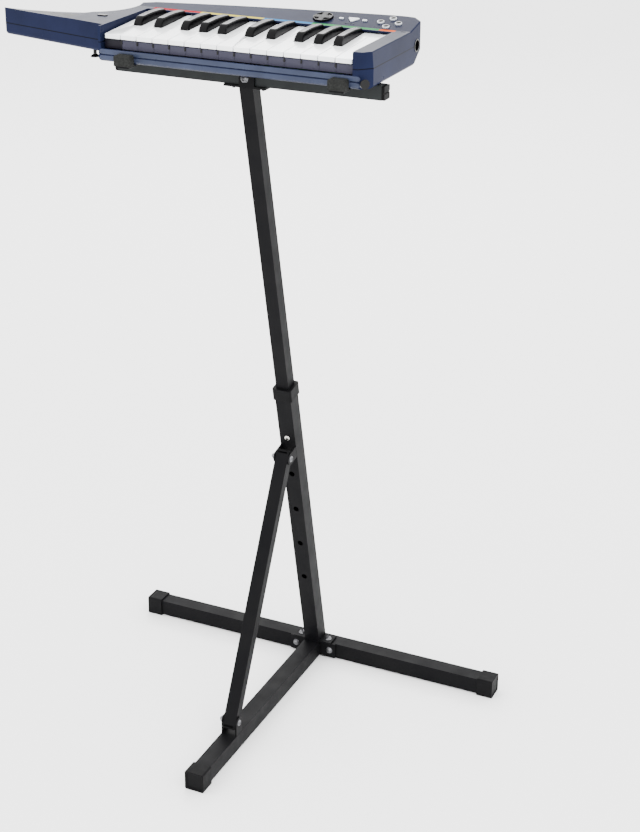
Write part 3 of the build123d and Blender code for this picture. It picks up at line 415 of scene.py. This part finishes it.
def powder_coated_bar(size):
    """The support bar's powder: a copy of the stand's, a shade greyer."""
    finish, tree, surface, where = new_finish(
        "powder_coated_bar", IOR=1.5, Specular_IOR_Level=0.1)
    mottle(tree, where, surface, size.bar_dark, size.bar_light, 25)
    rub(tree, where, surface, 0.44, 0.56, 20)
    grain(tree, where, surface, 1.1, 0.05)
    return finish


def moulded_polyethylene(size):
    """Black polyethylene end caps: softer and duller than the powder, faintly stippled."""
    finish, tree, surface, where = new_finish(
        "moulded_polyethylene", IOR=1.51, Specular_IOR_Level=0.05)
    mottle(tree, where, surface, size.cap_dark, size.cap_light, 18)
    rub(tree, where, surface, 0.5, 0.62, 12)
    grain(tree, where, surface, 0.7, 0.04, cells=True)
    return finish


def moulded_abs_navy(size):
    """Navy ABS casing, moulded in a spark-eroded tool: satin all over."""
    finish, tree, surface, where = new_finish(
        "moulded_abs_navy", IOR=1.53, Specular_IOR_Level=0.025)
    body = mottle(tree, where, surface, size.navy_dark, size.navy_light, 60)
    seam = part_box("upper_shell")[0].z          # painted shade, with some dust, in the groove between the shells
    axis = add_node(tree, "ShaderNodeSeparateXYZ", {"Vector": where})
    away = add_node(tree, "ShaderNodeMath", {0: axis.outputs["Z"], 1: -seam}, operation="ADD")
    apart = add_node(tree, "ShaderNodeMath", {0: away.outputs[0]}, operation="ABSOLUTE")
    gap = add_node(tree, "ShaderNodeMapRange",
                   {"Value": apart.outputs[0], "From Min": SEAM_SHADE_FULL, "From Max": SEAM_SHADE_END})
    shade = add_node(tree, "ShaderNodeMix", {"Factor": gap.outputs["Result"]}, data_type="RGBA")
    shade.inputs["A"].default_value = size.black_dark
    tree.links.new(body.outputs["Color"], shade.inputs["B"])
    tree.links.new(shade.outputs["Result"], surface.inputs["Base Color"])
    rub(tree, where, surface, 0.26, 0.34, 40)
    grain(tree, where, surface, 0.55, 0.012, cells=True)
    return finish


def moulded_abs_painted_reflection(size):
    """Slate-blue ABS beads along the casing's front, moulded smoother than the rest; their paler
    colour is a painted reflection of the pale surround.
    """
    finish, tree, surface, where = new_finish(
        "moulded_abs_painted_reflection", IOR=1.53, Specular_IOR_Level=0.1, Coat_Weight=0.02,
        Coat_Roughness=0.1)
    mottle(tree, where, surface, size.slate_dark, size.slate_light, 50)
    rub(tree, where, surface, 0.24, 0.32, 30)
    grain(tree, where, surface, 0.5, 0.008, cells=True)
    return finish


def moulded_abs_rail(size):
    """Blue-grey ABS rail below the keys, painted darker at its left end as the left cheek's shadow.
    """
    finish, tree, surface, where = new_finish("moulded_abs_rail", IOR=1.53, Specular_IOR_Level=0.1)
    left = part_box("key_01")[0].x
    axis = add_node(tree, "ShaderNodeSeparateXYZ", {"Vector": where})
    # painted shadow of the left cheek: rail colour darker up to the first mark, fading out by the
    # second
    edge = add_node(tree, "ShaderNodeMapRange",
                    {"Value": axis.outputs["X"], "From Min": left + CHEEK_SHADOW_EDGE[0],
                     "From Max": left + CHEEK_SHADOW_EDGE[1]})
    shade = add_node(tree, "ShaderNodeMix",
                     {"Factor": edge.outputs["Result"], "A": size.rail_dark, "B": size.rail_light},
                     data_type="RGBA")
    tree.links.new(shade.outputs["Result"], surface.inputs["Base Color"])
    rub(tree, where, surface, 0.30, 0.42, 25)
    grain(tree, where, surface, 0.6, 0.015, cells=True)
    return finish


def printed_strip(size):
    """Screen-printed polyester strip: five flat colour bands with crisp edges, under a clear
    satin film."""
    finish, tree, surface, where = new_finish(
        "printed_strip", IOR=1.5, Specular_IOR_Level=0.0, Roughness=0.45)
    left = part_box("key_01")[0].x
    bands = ((0, size.band_red), (74, size.band_yellow), (168.5, size.band_blue),
             (239, size.band_green), (333.5, size.band_orange))
    axis = add_node(tree, "ShaderNodeSeparateXYZ", {"Vector": where})
    along = add_node(tree, "ShaderNodeMapRange",
                     {"Value": axis.outputs["X"], "From Min": left,
                      "From Max": left + STRIP_LENGTH * MM})
    ramp = add_node(tree, "ShaderNodeValToRGB", {"Fac": along.outputs["Result"]})
    ramp.color_ramp.interpolation = "CONSTANT"
    while len(ramp.color_ramp.elements) < len(bands):
        ramp.color_ramp.elements.new(0.5)
    for element, (start, colour) in zip(ramp.color_ramp.elements, bands):
        element.position = start / STRIP_LENGTH
        element.color = colour
    tree.links.new(ramp.outputs["Color"], surface.inputs["Base Color"])
    grain(tree, where, surface, 0.8, 0.008)
    return finish


def moulded_white_key(size):
    """White ABS key, polished mould: cool white, glossy, with the faint waver of a moulding."""
    finish, tree, surface, where = new_finish(
        "moulded_white_key", IOR=1.53, Coat_Weight=0.3, Coat_Roughness=0.05)
    mottle(tree, where, surface, size.white_dark, size.white_light, 30)
    rub(tree, where, surface, 0.16, 0.24, 20)
    grain(tree, where, surface, 14, 0.02, 0.4)
    return finish


def moulded_black_key(size):
    """Black ABS key, moulded smooth: a low shine, a little duller in patches where fingers rub."""
    finish, tree, surface, where = new_finish(
        "moulded_black_key", IOR=1.55, Specular_IOR_Level=0.06, Coat_Weight=0.03,
        Coat_Roughness=0.06)
    mottle(tree, where, surface, size.black_dark, size.black_light, 25)
    rub(tree, where, surface, 0.14, 0.26, 9)
    grain(tree, where, surface, 0.6, 0.006)
    return finish


def touch_film(size):
    """Matt black polyester film over the neck's touch sensor, with a fine pebbled tooth."""
    finish, tree, surface, where = new_finish("touch_film", IOR=1.5, Specular_IOR_Level=0.2)
    mottle(tree, where, surface, size.black_dark, size.black_light, 12)
    rub(tree, where, surface, 0.45, 0.6, 8)
    grain(tree, where, surface, 0.5, 0.03, cells=True)
    return finish


def moulded_black_plastic(size):
    """Black polycarbonate small parts, moulded glossy."""
    finish, tree, surface, where = new_finish(
        "moulded_black_plastic", IOR=1.58, Specular_IOR_Level=0.12, Coat_Weight=0.08,
        Coat_Roughness=0.05)
    mottle(tree, where, surface, size.black_dark, size.black_light, 6)
    rub(tree, where, surface, 0.12, 0.22, 5)
    grain(tree, where, surface, 0.5, 0.006)
    return finish


def pearl_silver_plastic(size):
    """Pearl silver paint on plastic buttons: tiny bright flakes in a cool light grey."""
    finish, tree, surface, where = new_finish(
        "pearl_silver_plastic", IOR=1.5, Metallic=0.35, Coat_Weight=0.6, Coat_Roughness=0.06)
    flakes = add_node(tree, "ShaderNodeTexVoronoi", {"Vector": where, "Scale": 1000 / 0.35})
    ramp = add_node(tree, "ShaderNodeValToRGB", {"Fac": flakes.outputs["Distance"]})
    ramp.color_ramp.elements[0].position = 0.2
    ramp.color_ramp.elements[1].position = 0.75
    ramp.color_ramp.elements[0].color = size.pearl_light
    ramp.color_ramp.elements[1].color = size.pearl_dark
    tree.links.new(ramp.outputs["Color"], surface.inputs["Base Color"])
    rub(tree, where, surface, 0.2, 0.32, 3)
    return finish


def black_zinc_steel(size):
    """Steel fasteners, zinc plated and dyed black: dark metal, slightly blotched."""
    finish, tree, surface, where = new_finish("black_zinc_steel", Metallic=0.85)
    mottle(tree, where, surface, size.zinc_dark, size.zinc_light, 3)
    rub(tree, where, surface, 0.3, 0.45, 2)
    grain(tree, where, surface, 0.5, 0.01)
    return finish


def bright_plated_steel(size):
    """Nickel-plated spring steel: bright, with faint cloudy patches."""
    finish, tree, surface, where = new_finish("bright_plated_steel", Metallic=1.0)
    mottle(tree, where, surface, size.nickel_dark, size.nickel_light, 4)
    rub(tree, where, surface, 0.12, 0.24, 1.5)
    return finish


def grained_rubber(size):
    """Moulded rubber pads: grey-black, matt and pebbled like cast foam rubber."""
    finish, tree, surface, where = new_finish("grained_rubber", IOR=1.52, Specular_IOR_Level=0.12)
    mottle(tree, where, surface, size.rubber_dark, size.rubber_light, 2.2)
    rub(tree, where, surface, 0.7, 0.85, 4)
    grain(tree, where, surface, 1.3, 0.18, cells=True)
    return finish


def green_laminate(size):
    """Glass laminate under green solder resist, with a faint pebbled relief."""
    finish, tree, surface, where = new_finish("green_laminate", IOR=1.5)
    mottle(tree, where, surface, size.board_dark, size.board_light, 3)
    rub(tree, where, surface, 0.3, 0.4, 5)
    grain(tree, where, surface, 1.2, 0.03, cells=True)
    return finish


def wrapped_cell(size):
    """Plain shrink film on steel cells: satin grey, slightly wrinkled."""
    finish, tree, surface, where = new_finish("wrapped_cell", Metallic=0.2, IOR=1.5)
    mottle(tree, where, surface, size.cell_dark, size.cell_light, 8)
    rub(tree, where, surface, 0.25, 0.35, 6)
    grain(tree, where, surface, 3.0, 0.02)
    return finish


FINISHES = {
    "powder_coat": powder_coated_steel,
    "cap_plastic": moulded_polyethylene,
    "navy_shell": moulded_abs_navy,
    "dark_rail": moulded_abs_rail,
    "colour_strip": printed_strip,
    "white_keys": moulded_white_key,
    "black_keys": moulded_black_key,
    "touch_strip": touch_film,
    "black_plastic": moulded_black_plastic,
    "silver_buttons": pearl_silver_plastic,
    "black_bolts": black_zinc_steel,
    "snap_steel": bright_plated_steel,
    "rest_rubber": grained_rubber,
    "circuit_board": green_laminate,
    "battery": wrapped_cell,
}


def finish_of(context, slot):
    """The finish of one of the record's material slots, made once and then shared."""
    maker = FINISHES[slot]
    made = bpy.data.materials.get(maker.__name__)
    return made or maker(context.scene.keyboard_finishes)


# ---- what a user can change ----

class KeyboardFinishes(bpy.types.PropertyGroup):
    """Colours of the keyboard and its stand."""
    powder_dark: colour_property("Powder coat, dark", "Black powder, darker", "#08080a")
    powder_light: colour_property("Powder coat, light", "Black powder, paler", "#0c0c0d")
    bar_dark: colour_property("Bar, dark", "Support bar's powder coat, darker", "#17191a")
    bar_light: colour_property("Bar, light", "Support bar's powder coat, paler", "#1e2121")
    cap_dark: colour_property("Caps, dark", "Polyethylene caps, darker", "#070708")
    cap_light: colour_property("Caps, light", "Polyethylene caps, paler", "#0b0b0c")
    navy_dark: colour_property("Casing, dark", "Navy casing, darker", "#111528")
    navy_light: colour_property("Casing, light", "Navy casing, paler", "#161b31")
    # the beads' paler colours are a painted reflection of the surround on the casing's ABS
    slate_dark: colour_property("Beads, dark", "Casing's front beads, darker", "#242938")
    slate_light: colour_property("Beads, light", "Casing's front beads, paler", "#2f3548")
    # the rail's colour at its left end, darkened as the left cheek's painted shadow
    rail_dark: colour_property("Rail under the first key", "Rail at its left end", "#121018")
    rail_light: colour_property("Rail", "Rail below the keys", "#343340")
    band_red: colour_property("Band 1", "First colour band", "#9a1522")
    band_yellow: colour_property("Band 2", "Second colour band", "#b8a83c")
    band_blue: colour_property("Band 3", "Third colour band", "#2b6b9c")
    band_green: colour_property("Band 4", "Fourth colour band", "#34804a")
    band_orange: colour_property("Band 5", "Fifth colour band", "#bd4f1c")
    white_dark: colour_property("White keys, shade", "White keys, darker", "#eceff1")
    white_light: colour_property("White keys", "White keys, paler", "#f6f7f8")
    black_dark: colour_property("Black plastic, dark", "Black plastic, darker", "#040405")
    black_light: colour_property("Black plastic, light", "Black plastic, paler", "#070708")
    pearl_dark: colour_property("Pearl, ground", "Pearl silver between its flakes", "#9b9fa6")
    pearl_light: colour_property("Pearl, flakes", "Pearl silver's flakes", "#d3d7dc")
    zinc_dark: colour_property("Black zinc, dark", "Fasteners, darker", "#3a3a3c")
    zinc_light: colour_property("Black zinc, light", "Fasteners, paler", "#77777a")
    nickel_dark: colour_property("Nickel, dark", "Plated spring steel, darker", "#a9a7a2")
    nickel_light: colour_property("Nickel, light", "Plated spring steel, paler", "#cfcdc8")
    rubber_dark: colour_property("Rubber, dark", "Rest pads, darker", "#0b0c0b")
    rubber_light: colour_property("Rubber, light", "Rest pads, paler", "#1e1f1e")
    board_dark: colour_property("Board, dark", "Circuit board, darker", "#0b3a1c")
    board_light: colour_property("Board, light", "Circuit board, paler", "#14562b")
    cell_dark: colour_property("Cells, dark", "Battery film, darker", "#4b4d52")
    cell_light: colour_property("Cells, light", "Battery film, paler", "#5b5e63")
    floor: colour_property("Floor", "The floor's pale paint", "#ffffff")


class KeyboardSizes(bpy.types.PropertyGroup):
    """Sizes of the fine work on the pieces."""
    tube_radius: length_property("Tube corner", "Outer radius of a rolled tube's corners", 1.6)
    plate_radius: length_property("Plate edge", "Rounding of a cut plate under its coat", 0.5)
    casing_radius: length_property("Casing edge", "Rounding of the casing's moulded edges", 0.7)
    key_radius: length_property("Key edge", "Rounding of a key's edges", 0.55)
    bolt_head: length_property("Bolt head", "Radius of a bolt's domed head", 5.0)
    bolt_shank: length_property("Bolt shank", "Radius of a bolt's shank", 2.8)
    bolt_nut: length_property("Nut", "Thickness of a nut", 4.0)
    bead_bulge: length_property("Bead", "How far the casing's front beads stand out", 1.3)
    cap_radius: length_property("Cap edge", "Rounding of an end cap's edges", 1.2)
    pad_radius: length_property("Pad edge", "Rounding of a rubber pad's edges", 2.2)
    camera_lens: length_property("Lens", "Focal length of the camera", 75.53)


# ---- operators: one for each piece or group of like pieces ----

class KEYBOARD_OT_stand(bpy.types.Operator):
    """Round the stand's rolled tubes and cut plates and give them their powder coat"""
    bl_idname = "keyboard.stand"
    bl_label = "Stand tubes and plates"

    def execute(self, context):
        sizes = context.scene.keyboard_sizes
        coat = finish_of(context, "powder_coat")
        for node in ("base_crossbar", "brace"):
            eased_node(node, coat, sizes.tube_radius)
        for node in ("post_lower", "post_upper", "rest_arms"):
            eased_node(node, coat, sizes.plate_radius)
        eased_node("base_foot", coat, sizes.plate_radius, whole=False)
        bar_coat = powder_coated_bar(context.scene.keyboard_finishes)
        eased_node("support_bar", bar_coat, sizes.tube_radius)
        return {"FINISHED"}


class KEYBOARD_OT_caps(bpy.types.Operator):
    """Round the plastic end caps and the post's collar"""
    bl_idname = "keyboard.caps"
    bl_label = "End caps and collar"

    def execute(self, context):
        sizes = context.scene.keyboard_sizes
        for node in ("base_end_caps", "bar_end_caps", "post_collar"):
            eased_node(node, finish_of(context, "cap_plastic"), sizes.cap_radius)
        return {"FINISHED"}


class KEYBOARD_OT_fasteners(bpy.types.Operator):
    """Button-head bolts with washers, sockets and nuts"""
    bl_idname = "keyboard.fasteners"
    bl_label = "Bolts"

    def execute(self, context):
        sizes = context.scene.keyboard_sizes
        for node in ("base_bolts", "head_bolts"):
            solids = [button_head_bolt(points, sizes) for points in islands(node)]
            zinc = finish_of(context, "black_bolts")
            stands_for(piece(f"{node}_detailed", joined(node, solids), zinc), node)
        return {"FINISHED"}


def button_head_bolt(points, sizes):
    """A bolt that fills the room of one plain one, given that one's points. Its axis is the
    points' longest extent and its head is at the end where the end face is widest. It is a solid
    of revolution: a thin washer, a domed head with a hexagonal socket, the shank and a nut."""
    low, high = points.min(0), points.max(0)
    axis = int(np.argmax(high - low))
    middle = (low + high) / 2
    across = [i for i in range(3) if i != axis]
    spread = [np.abs(points[np.abs(points[:, axis] - end) < 1e-5][:, across] - middle[across]).max()
              for end in (low[axis], high[axis])]
    out = np.zeros(3)
    out[axis] = 1.0 if spread[1] > spread[0] else -1.0
    head_end = high[axis] if out[axis] > 0 else low[axis]
    length = high[axis] - low[axis]
    origin = middle.copy()
    origin[axis] = head_end
    where = place(origin, out, np.roll(out, 1))
    head, shank = sizes.bolt_head, sizes.bolt_shank
    top = [(head * 0.36, 0.0), (head * 0.34, -0.4 * MM), (head * 0.34, -2.0 * MM),
           (0.2 * MM, -2.1 * MM)]
    height = 3.0 * MM                    # of the domed head
    side = dome(head, height, -height - 0.8 * MM, 7, 0.72)
    washer = [(head * 1.12, -height - 1.0 * MM), (head * 1.12, -height - 1.6 * MM)]
    nut = sizes.bolt_nut
    tail = length - 2 * MM               # the shank shows 2 mm past its nut
    below = [(shank, washer[1][1] - 0.001 * MM), (shank, -tail + nut),
             (head * 0.8, -tail + nut - 0.01 * MM),
             (head * 0.9, -tail + nut - 0.5 * MM), (head * 0.9, -tail + 0.5 * MM),
             (head * 0.8, -tail), (shank, -tail - 0.01 * MM), (shank, -length + 0.4 * MM),
             (shank * 0.85, -length)]
    pairs = below[::-1] + washer[::-1] + side + top
    nut_rows = (3, 6)
    socket_rows = (len(pairs) - 3, len(pairs) - 1)
    rows = []
    for i, (radius, at) in enumerate(pairs):
        flats = nut_rows[0] <= i <= nut_rows[1] or socket_rows[0] <= i <= socket_rows[1]
        rows.append(((hex_outline if flats else round_outline)(radius), at))
    return turned("bolt", where, rows)


class KEYBOARD_OT_pads(bpy.types.Operator):
    """Round the rubber rest pads"""
    bl_idname = "keyboard.pads"
    bl_label = "Rest pads"

    def execute(self, context):
        sizes = context.scene.keyboard_sizes
        eased_node("rest_pads", finish_of(context, "rest_rubber"), sizes.pad_radius, segments=4)
        return {"FINISHED"}


class KEYBOARD_OT_casing(bpy.types.Operator):
    """Round the casing's moulded edges, which also opens its seam"""
    bl_idname = "keyboard.casing"
    bl_label = "Casing"

    def execute(self, context):
        sizes = context.scene.keyboard_sizes
        for node in ("upper_shell", "lower_shell"):
            eased_node(node, finish_of(context, "navy_shell"), sizes.casing_radius)
        beads = []
        for z, half_height, bulge in BEADS:
            left, right = (at_keys(x, CASING_FRONT, z) for x in BEAD_ENDS)
            beads.append(bar_of_ellipses(
                "bead", left, right, (0, -1, 0), (0, 0, 1), sizes.bead_bulge * bulge,
                half_height * MM, BEAD_EASING))
        slate = moulded_abs_painted_reflection(context.scene.keyboard_finishes)
        detail_on(piece("front_beads", joined("front_beads", beads), slate), "lower_shell")
        return {"FINISHED"}


class KEYBOARD_OT_rail(bpy.types.Operator):
    """Round the key frame's edges and set black tabs below the gaps between keys as painted shade
    of those gaps
    """
    bl_idname = "keyboard.rail"
    bl_label = "Rail and key guides"

    def execute(self, context):
        sizes = context.scene.keyboard_sizes
        eased_node("key_frame", finish_of(context, "dark_rail"), sizes.plate_radius * 0.5)
        # black tabs below the gaps between keys: painted shade of the gaps
        tabs = []
        for gap in range(1, len(WHITE_KEYS)):
            middle = at_keys(gap * WHITE_PITCH / MM, RAIL_FRONT, TAB_MIDDLE)
            where = place(middle, (0, -1, 0), (1, 0, 0))
            rows = [(oblong_outline(TAB_WIDTH - 2 * i, TAB_HEIGHT - 2 * i, TAB_CORNER - i), h)
                    for i, h in eased(TAB_SUNK, TAB_PROUD, TAB_EASING)]
            tabs.append(turned("tab", where, rows))
        black = finish_of(context, "black_plastic")
        detail_on(piece("gap_shade_tabs", joined("gap_shade_tabs", tabs), black), "key_frame")
        return {"FINISHED"}


class KEYBOARD_OT_keys(bpy.types.Operator):
    """Round the white keys' edges and shape the black keys"""
    bl_idname = "keyboard.keys"
    bl_label = "Keys"

    def execute(self, context):
        sizes = context.scene.keyboard_sizes
        for node in WHITE_KEYS:
            eased_node(node, finish_of(context, "white_keys"), sizes.key_radius)
        for node in BLACK_KEYS:
            black = finish_of(context, "black_keys")
            stands_for(piece(f"{node}_moulded", black_key_surface(node), black), node)
        return {"FINISHED"}


def black_key_surface(node):
    """A black key's raised block and its tail. Along the key the top climbs a steep rounded nose,
    arches gently and sinks towards the panel; each cross-section is a superellipse of power 2 /
    0.22, x = w sgn(cos t) |cos t|^0.22 and z likewise, narrowed with height by the key's taper."""
    low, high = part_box(node)
    middle = (low.x + high.x) / 2
    half = (high.x - low.x) / 2
    front = low.y + 0.1 * MM
    edge = LIP_FRONT + BLOCK_END             # the block's rear end, just before the panel
    slope = math.tan(KEY_RISE)               # the keys rise away from the player
    run = edge - front
    u = np.concatenate([[0, 0.006, 0.02, 0.05, 0.09, 0.115, 0.14], np.linspace(0.2, 0.94, 12),
                        [0.975, 0.99, 1.0]])
    nose = 1 - (1 - np.clip(u / BLOCK_NOSE, 0, 1)) ** 1.7
    fall = np.clip((u - 0.35) / 0.65, 0, 1) ** 2
    rear = np.where(u > 0.97, 1 - ((u - 0.97) / 0.03) ** 2 * 0.35, 1.0)
    base = LIP_TOP + (front - LIP_FRONT + u * run) * slope
    height = (3.2 + 7.6 * nose - 3.6 * fall) * rear * MM
    floor = base - 4.6 * MM
    y = front + u * run
    tail_y = np.array([edge + 0.02 * MM, high.y - 0.4 * MM, high.y])
    tail_base = LIP_TOP + (tail_y - LIP_FRONT) * slope
    y = np.concatenate([y, tail_y])
    top = np.concatenate([base + height, tail_base + np.array([-1.4, -1.4, -1.8]) * MM])
    floor = np.concatenate([floor, tail_base + np.array([-5.0, -5.0, -4.6]) * MM])
    wide = half * np.concatenate([[0.86, 0.93, 0.97], np.ones(len(u) - 3), [0.96, 0.96, 0.9]])
    t = np.linspace(0, 2 * np.pi, COLUMNS, endpoint=False) + np.pi / COLUMNS
    cos, sin = np.cos(t), np.sin(t)
    side = np.sign(cos) * np.abs(cos) ** BLOCK_POWER
    lift = np.sign(sin) * np.abs(sin) ** BLOCK_POWER
    z = (top + floor)[:, None] / 2 + (top - floor)[:, None] / 2 * lift[None, :]
    above = np.maximum(0, z - np.concatenate([base, tail_base])[:, None])
    x = middle + side[None, :] * (wide[:, None] - above * math.tan(KEY_TAPER))
    points = np.stack([x, np.broadcast_to(y[:, None], z.shape), z], -1)
    return grid_mesh(node, points[:, ::-1])


class KEYBOARD_OT_controls(bpy.types.Operator):
    """The face buttons' domed centres, the guide button, the direction pad and the lamps"""
    bl_idname = "keyboard.controls"
    bl_label = "Buttons, pad and lamps"

    def execute(self, context):
        silver = finish_of(context, "silver_buttons")
        black = finish_of(context, "black_plastic")
        for node in FACE_BUTTONS:
            low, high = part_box(node)
            seat = (low + high) / 2 - PANEL_UP * 0.5 * (high.z - low.z) * 0.72
            profile = [(4.0, 0.0), (4.7, 0.3)] + [(4.7, 4.4)] + [
                (4.75 * math.cos(a), 4.4 + 2.2 * math.sin(a)) for a in np.linspace(0.1, 1.5, 7)]
            rows = [(round_outline(radius * MM), height * MM) for radius, height in profile]
            cap = piece(f"{node}_cap", turned(node, place(seat, PANEL_UP, (1, 0, 0)), rows), black)
            detail_on(cap, node)
        eased_node("dpad", black, 0.5 * MM)
        eased_node("guide_button", silver, 0.45 * MM)
        low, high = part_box("guide_button")
        middle = (low + high) / 2
        lamps = []
        for step in (-1.5, -0.5, 0.5, 1.5):
            at = on_panel((middle.x - LIP_LEFT) / MM + LAMP_PITCH * step, LAMP_ROW, -0.2)
            rows = [(round_outline(radius), height) for radius, height in
                    [(LAMP_RADIUS, 0.0)] + dome(LAMP_RADIUS, 0.5 * MM, 0.3 * MM, 5)]
            lamps.append(turned("lamp", place(at, PANEL_UP, (1, 0, 0)), rows))
        detail_on(piece("indicator_lamps", joined("indicator_lamps", lamps), black), "upper_shell")
        return {"FINISHED"}


class KEYBOARD_OT_brace_plugs(bpy.types.Operator):
    """Black plugs in the brace's two ends: rounded oblongs with an eased rim"""
    bl_idname = "keyboard.brace_plugs"
    bl_label = "Brace plugs"

    def execute(self, context):
        low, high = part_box("brace")
        depth = BRACE_DEPTH
        width, height = high.y - low.y, high.z - low.z
        turn = math.atan2(height, width)
        for _ in range(20):                  # the turn at which the tilted tube fills its box
            turn = math.atan2(height - depth * math.cos(turn), width - depth * math.sin(turn))
        along = Vector((0, math.cos(turn), math.sin(turn)))
        inset = Vector((0, along.z, along.y)) * depth / 2
        foot = Vector((0, low.y, low.z)) + inset
        top = Vector((0, high.y, high.z)) - inset
        plugs = []
        for end, out in ((foot, -along), (top, along)):
            rows = [(oblong_outline(BRACE_WIDTH - 2 * i, depth - 2 * i, PLUG_CORNER - i), h)
                    for i, h in eased(PLUG_SUNK, PLUG_PROUD, PLUG_EASING)]
            plugs.append(turned("plug", place(end, out, (1, 0, 0)), rows))
        cap = finish_of(context, "cap_plastic")
        detail_on(piece("brace_plugs", joined("brace_plugs", plugs), cap), "brace")
        return {"FINISHED"}


class KEYBOARD_OT_kept_nodes(bpy.types.Operator):
    """Give every CAD node that shows as it is the finish of its slot"""
    bl_idname = "keyboard.kept_nodes"
    bl_label = "Finishes of the kept nodes"

    def execute(self, context):
        for node, obj in frame["nodes"].items():
            finish = finish_of(context, SLOT_OF[node])
            obj.data.materials.clear()
            obj.data.materials.append(finish)
        return {"FINISHED"}


class KEYBOARD_OT_stage(bpy.types.Operator):
    """Pale floor, soft studio light and the camera"""
    bl_idname = "keyboard.stage"
    bl_label = "Stage"

    def execute(self, context):
        floor_mesh = bpy.data.meshes.new("floor")
        reach = FLOOR_REACH
        corners = [(-reach, -reach, 0), (reach, -reach, 0), (reach, reach, 0), (-reach, reach, 0)]
        floor_mesh.from_pydata(corners, [], [(0, 1, 2, 3)])
        finish, tree, surface, where = new_finish("matt_floor_paint", IOR=1.45)
        pale = context.scene.keyboard_finishes.floor
        mottle(tree, where, surface, pale, pale, 600)
        rub(tree, where, surface, 0.75, 0.85, 300)
        piece("floor", floor_mesh, finish)
        light_world(context)
        for softbox in SOFTBOXES:
            area_light(*softbox)
        add_camera(context)
        return {"FINISHED"}


def light_world(context):
    """An even, pale surround."""
    world = context.scene.world or bpy.data.worlds.new("surround")
    context.scene.world = world
    world.use_nodes = True
    background = world.node_tree.nodes["Background"]
    background.inputs["Color"].default_value = (1.0, 1.0, 1.0, 1.0)
    background.inputs["Strength"].default_value = SURROUND_STRENGTH


def area_light(name, middle, aim, width, height, power):
    """A rectangular softbox at middle that faces aim."""
    light = bpy.data.lights.new(name, "AREA")
    light.shape = "RECTANGLE"
    light.size = width
    light.size_y = height
    light.energy = power
    obj = bpy.data.objects.new(name, light)
    bpy.context.scene.collection.objects.link(obj)
    obj.location = middle
    obj.rotation_euler = (Vector(aim) - Vector(middle)).to_track_quat("-Z", "Y").to_euler()


def add_camera(context):
    """The camera, in front and to the right of the player's side, looking down on the keys."""
    lens = bpy.data.cameras.new("camera")
    lens.lens = context.scene.keyboard_sizes.camera_lens / MM
    lens.shift_x, lens.shift_y = CAMERA_SHIFT
    lens.dof.use_dof = False
    obj = bpy.data.objects.new("camera", lens)
    context.scene.collection.objects.link(obj)
    turn, dip = CAMERA_TURN, CAMERA_DIP
    ahead = (-math.sin(turn) * math.cos(dip), math.cos(turn) * math.cos(dip), -math.sin(dip))
    obj.location = CAMERA_PLACE
    obj.rotation_euler = Vector(ahead).to_track_quat("-Z", "Y").to_euler()
    context.scene.camera = obj


OPERATORS = (
    KEYBOARD_OT_kept_nodes,
    KEYBOARD_OT_stand,
    KEYBOARD_OT_caps,
    KEYBOARD_OT_fasteners,
    KEYBOARD_OT_pads,
    KEYBOARD_OT_casing,
    KEYBOARD_OT_rail,
    KEYBOARD_OT_keys,
    KEYBOARD_OT_controls,
    KEYBOARD_OT_brace_plugs,
    KEYBOARD_OT_stage,
)


class KEYBOARD_PT_pieces(bpy.types.Panel):
    """Buttons for every piece, with the sizes and colours they use"""
    bl_idname = "KEYBOARD_PT_pieces"
    bl_label = "Keyboard on stand"
    bl_space_type = "VIEW_3D"
    bl_region_type = "UI"
    bl_category = "Keyboard"

    def draw(self, context):
        for operator in OPERATORS:
            self.layout.operator(operator.bl_idname)
        for group in (context.scene.keyboard_sizes, context.scene.keyboard_finishes):
            for name in group.__annotations__:
                self.layout.prop(group, name)


CLASSES = (KeyboardFinishes, KeyboardSizes, *OPERATORS, KEYBOARD_PT_pieces)


def register():
    """Adds the classes and the scene's two groups of settings."""
    for cls in CLASSES:
        bpy.utils.register_class(cls)
    bpy.types.Scene.keyboard_finishes = bpy.props.PointerProperty(type=KeyboardFinishes)
    bpy.types.Scene.keyboard_sizes = bpy.props.PointerProperty(type=KeyboardSizes)


def unregister():
    """Takes them away again."""
    del bpy.types.Scene.keyboard_sizes
    del bpy.types.Scene.keyboard_finishes
    for cls in reversed(CLASSES):
        bpy.utils.unregister_class(cls)


def main():
    """Makes every piece in order."""
    register()
    for operator in OPERATORS:
        group, name = operator.bl_idname.split(".")
        getattr(getattr(bpy.ops, group), name)()


if __name__ == "__main__":
    main()
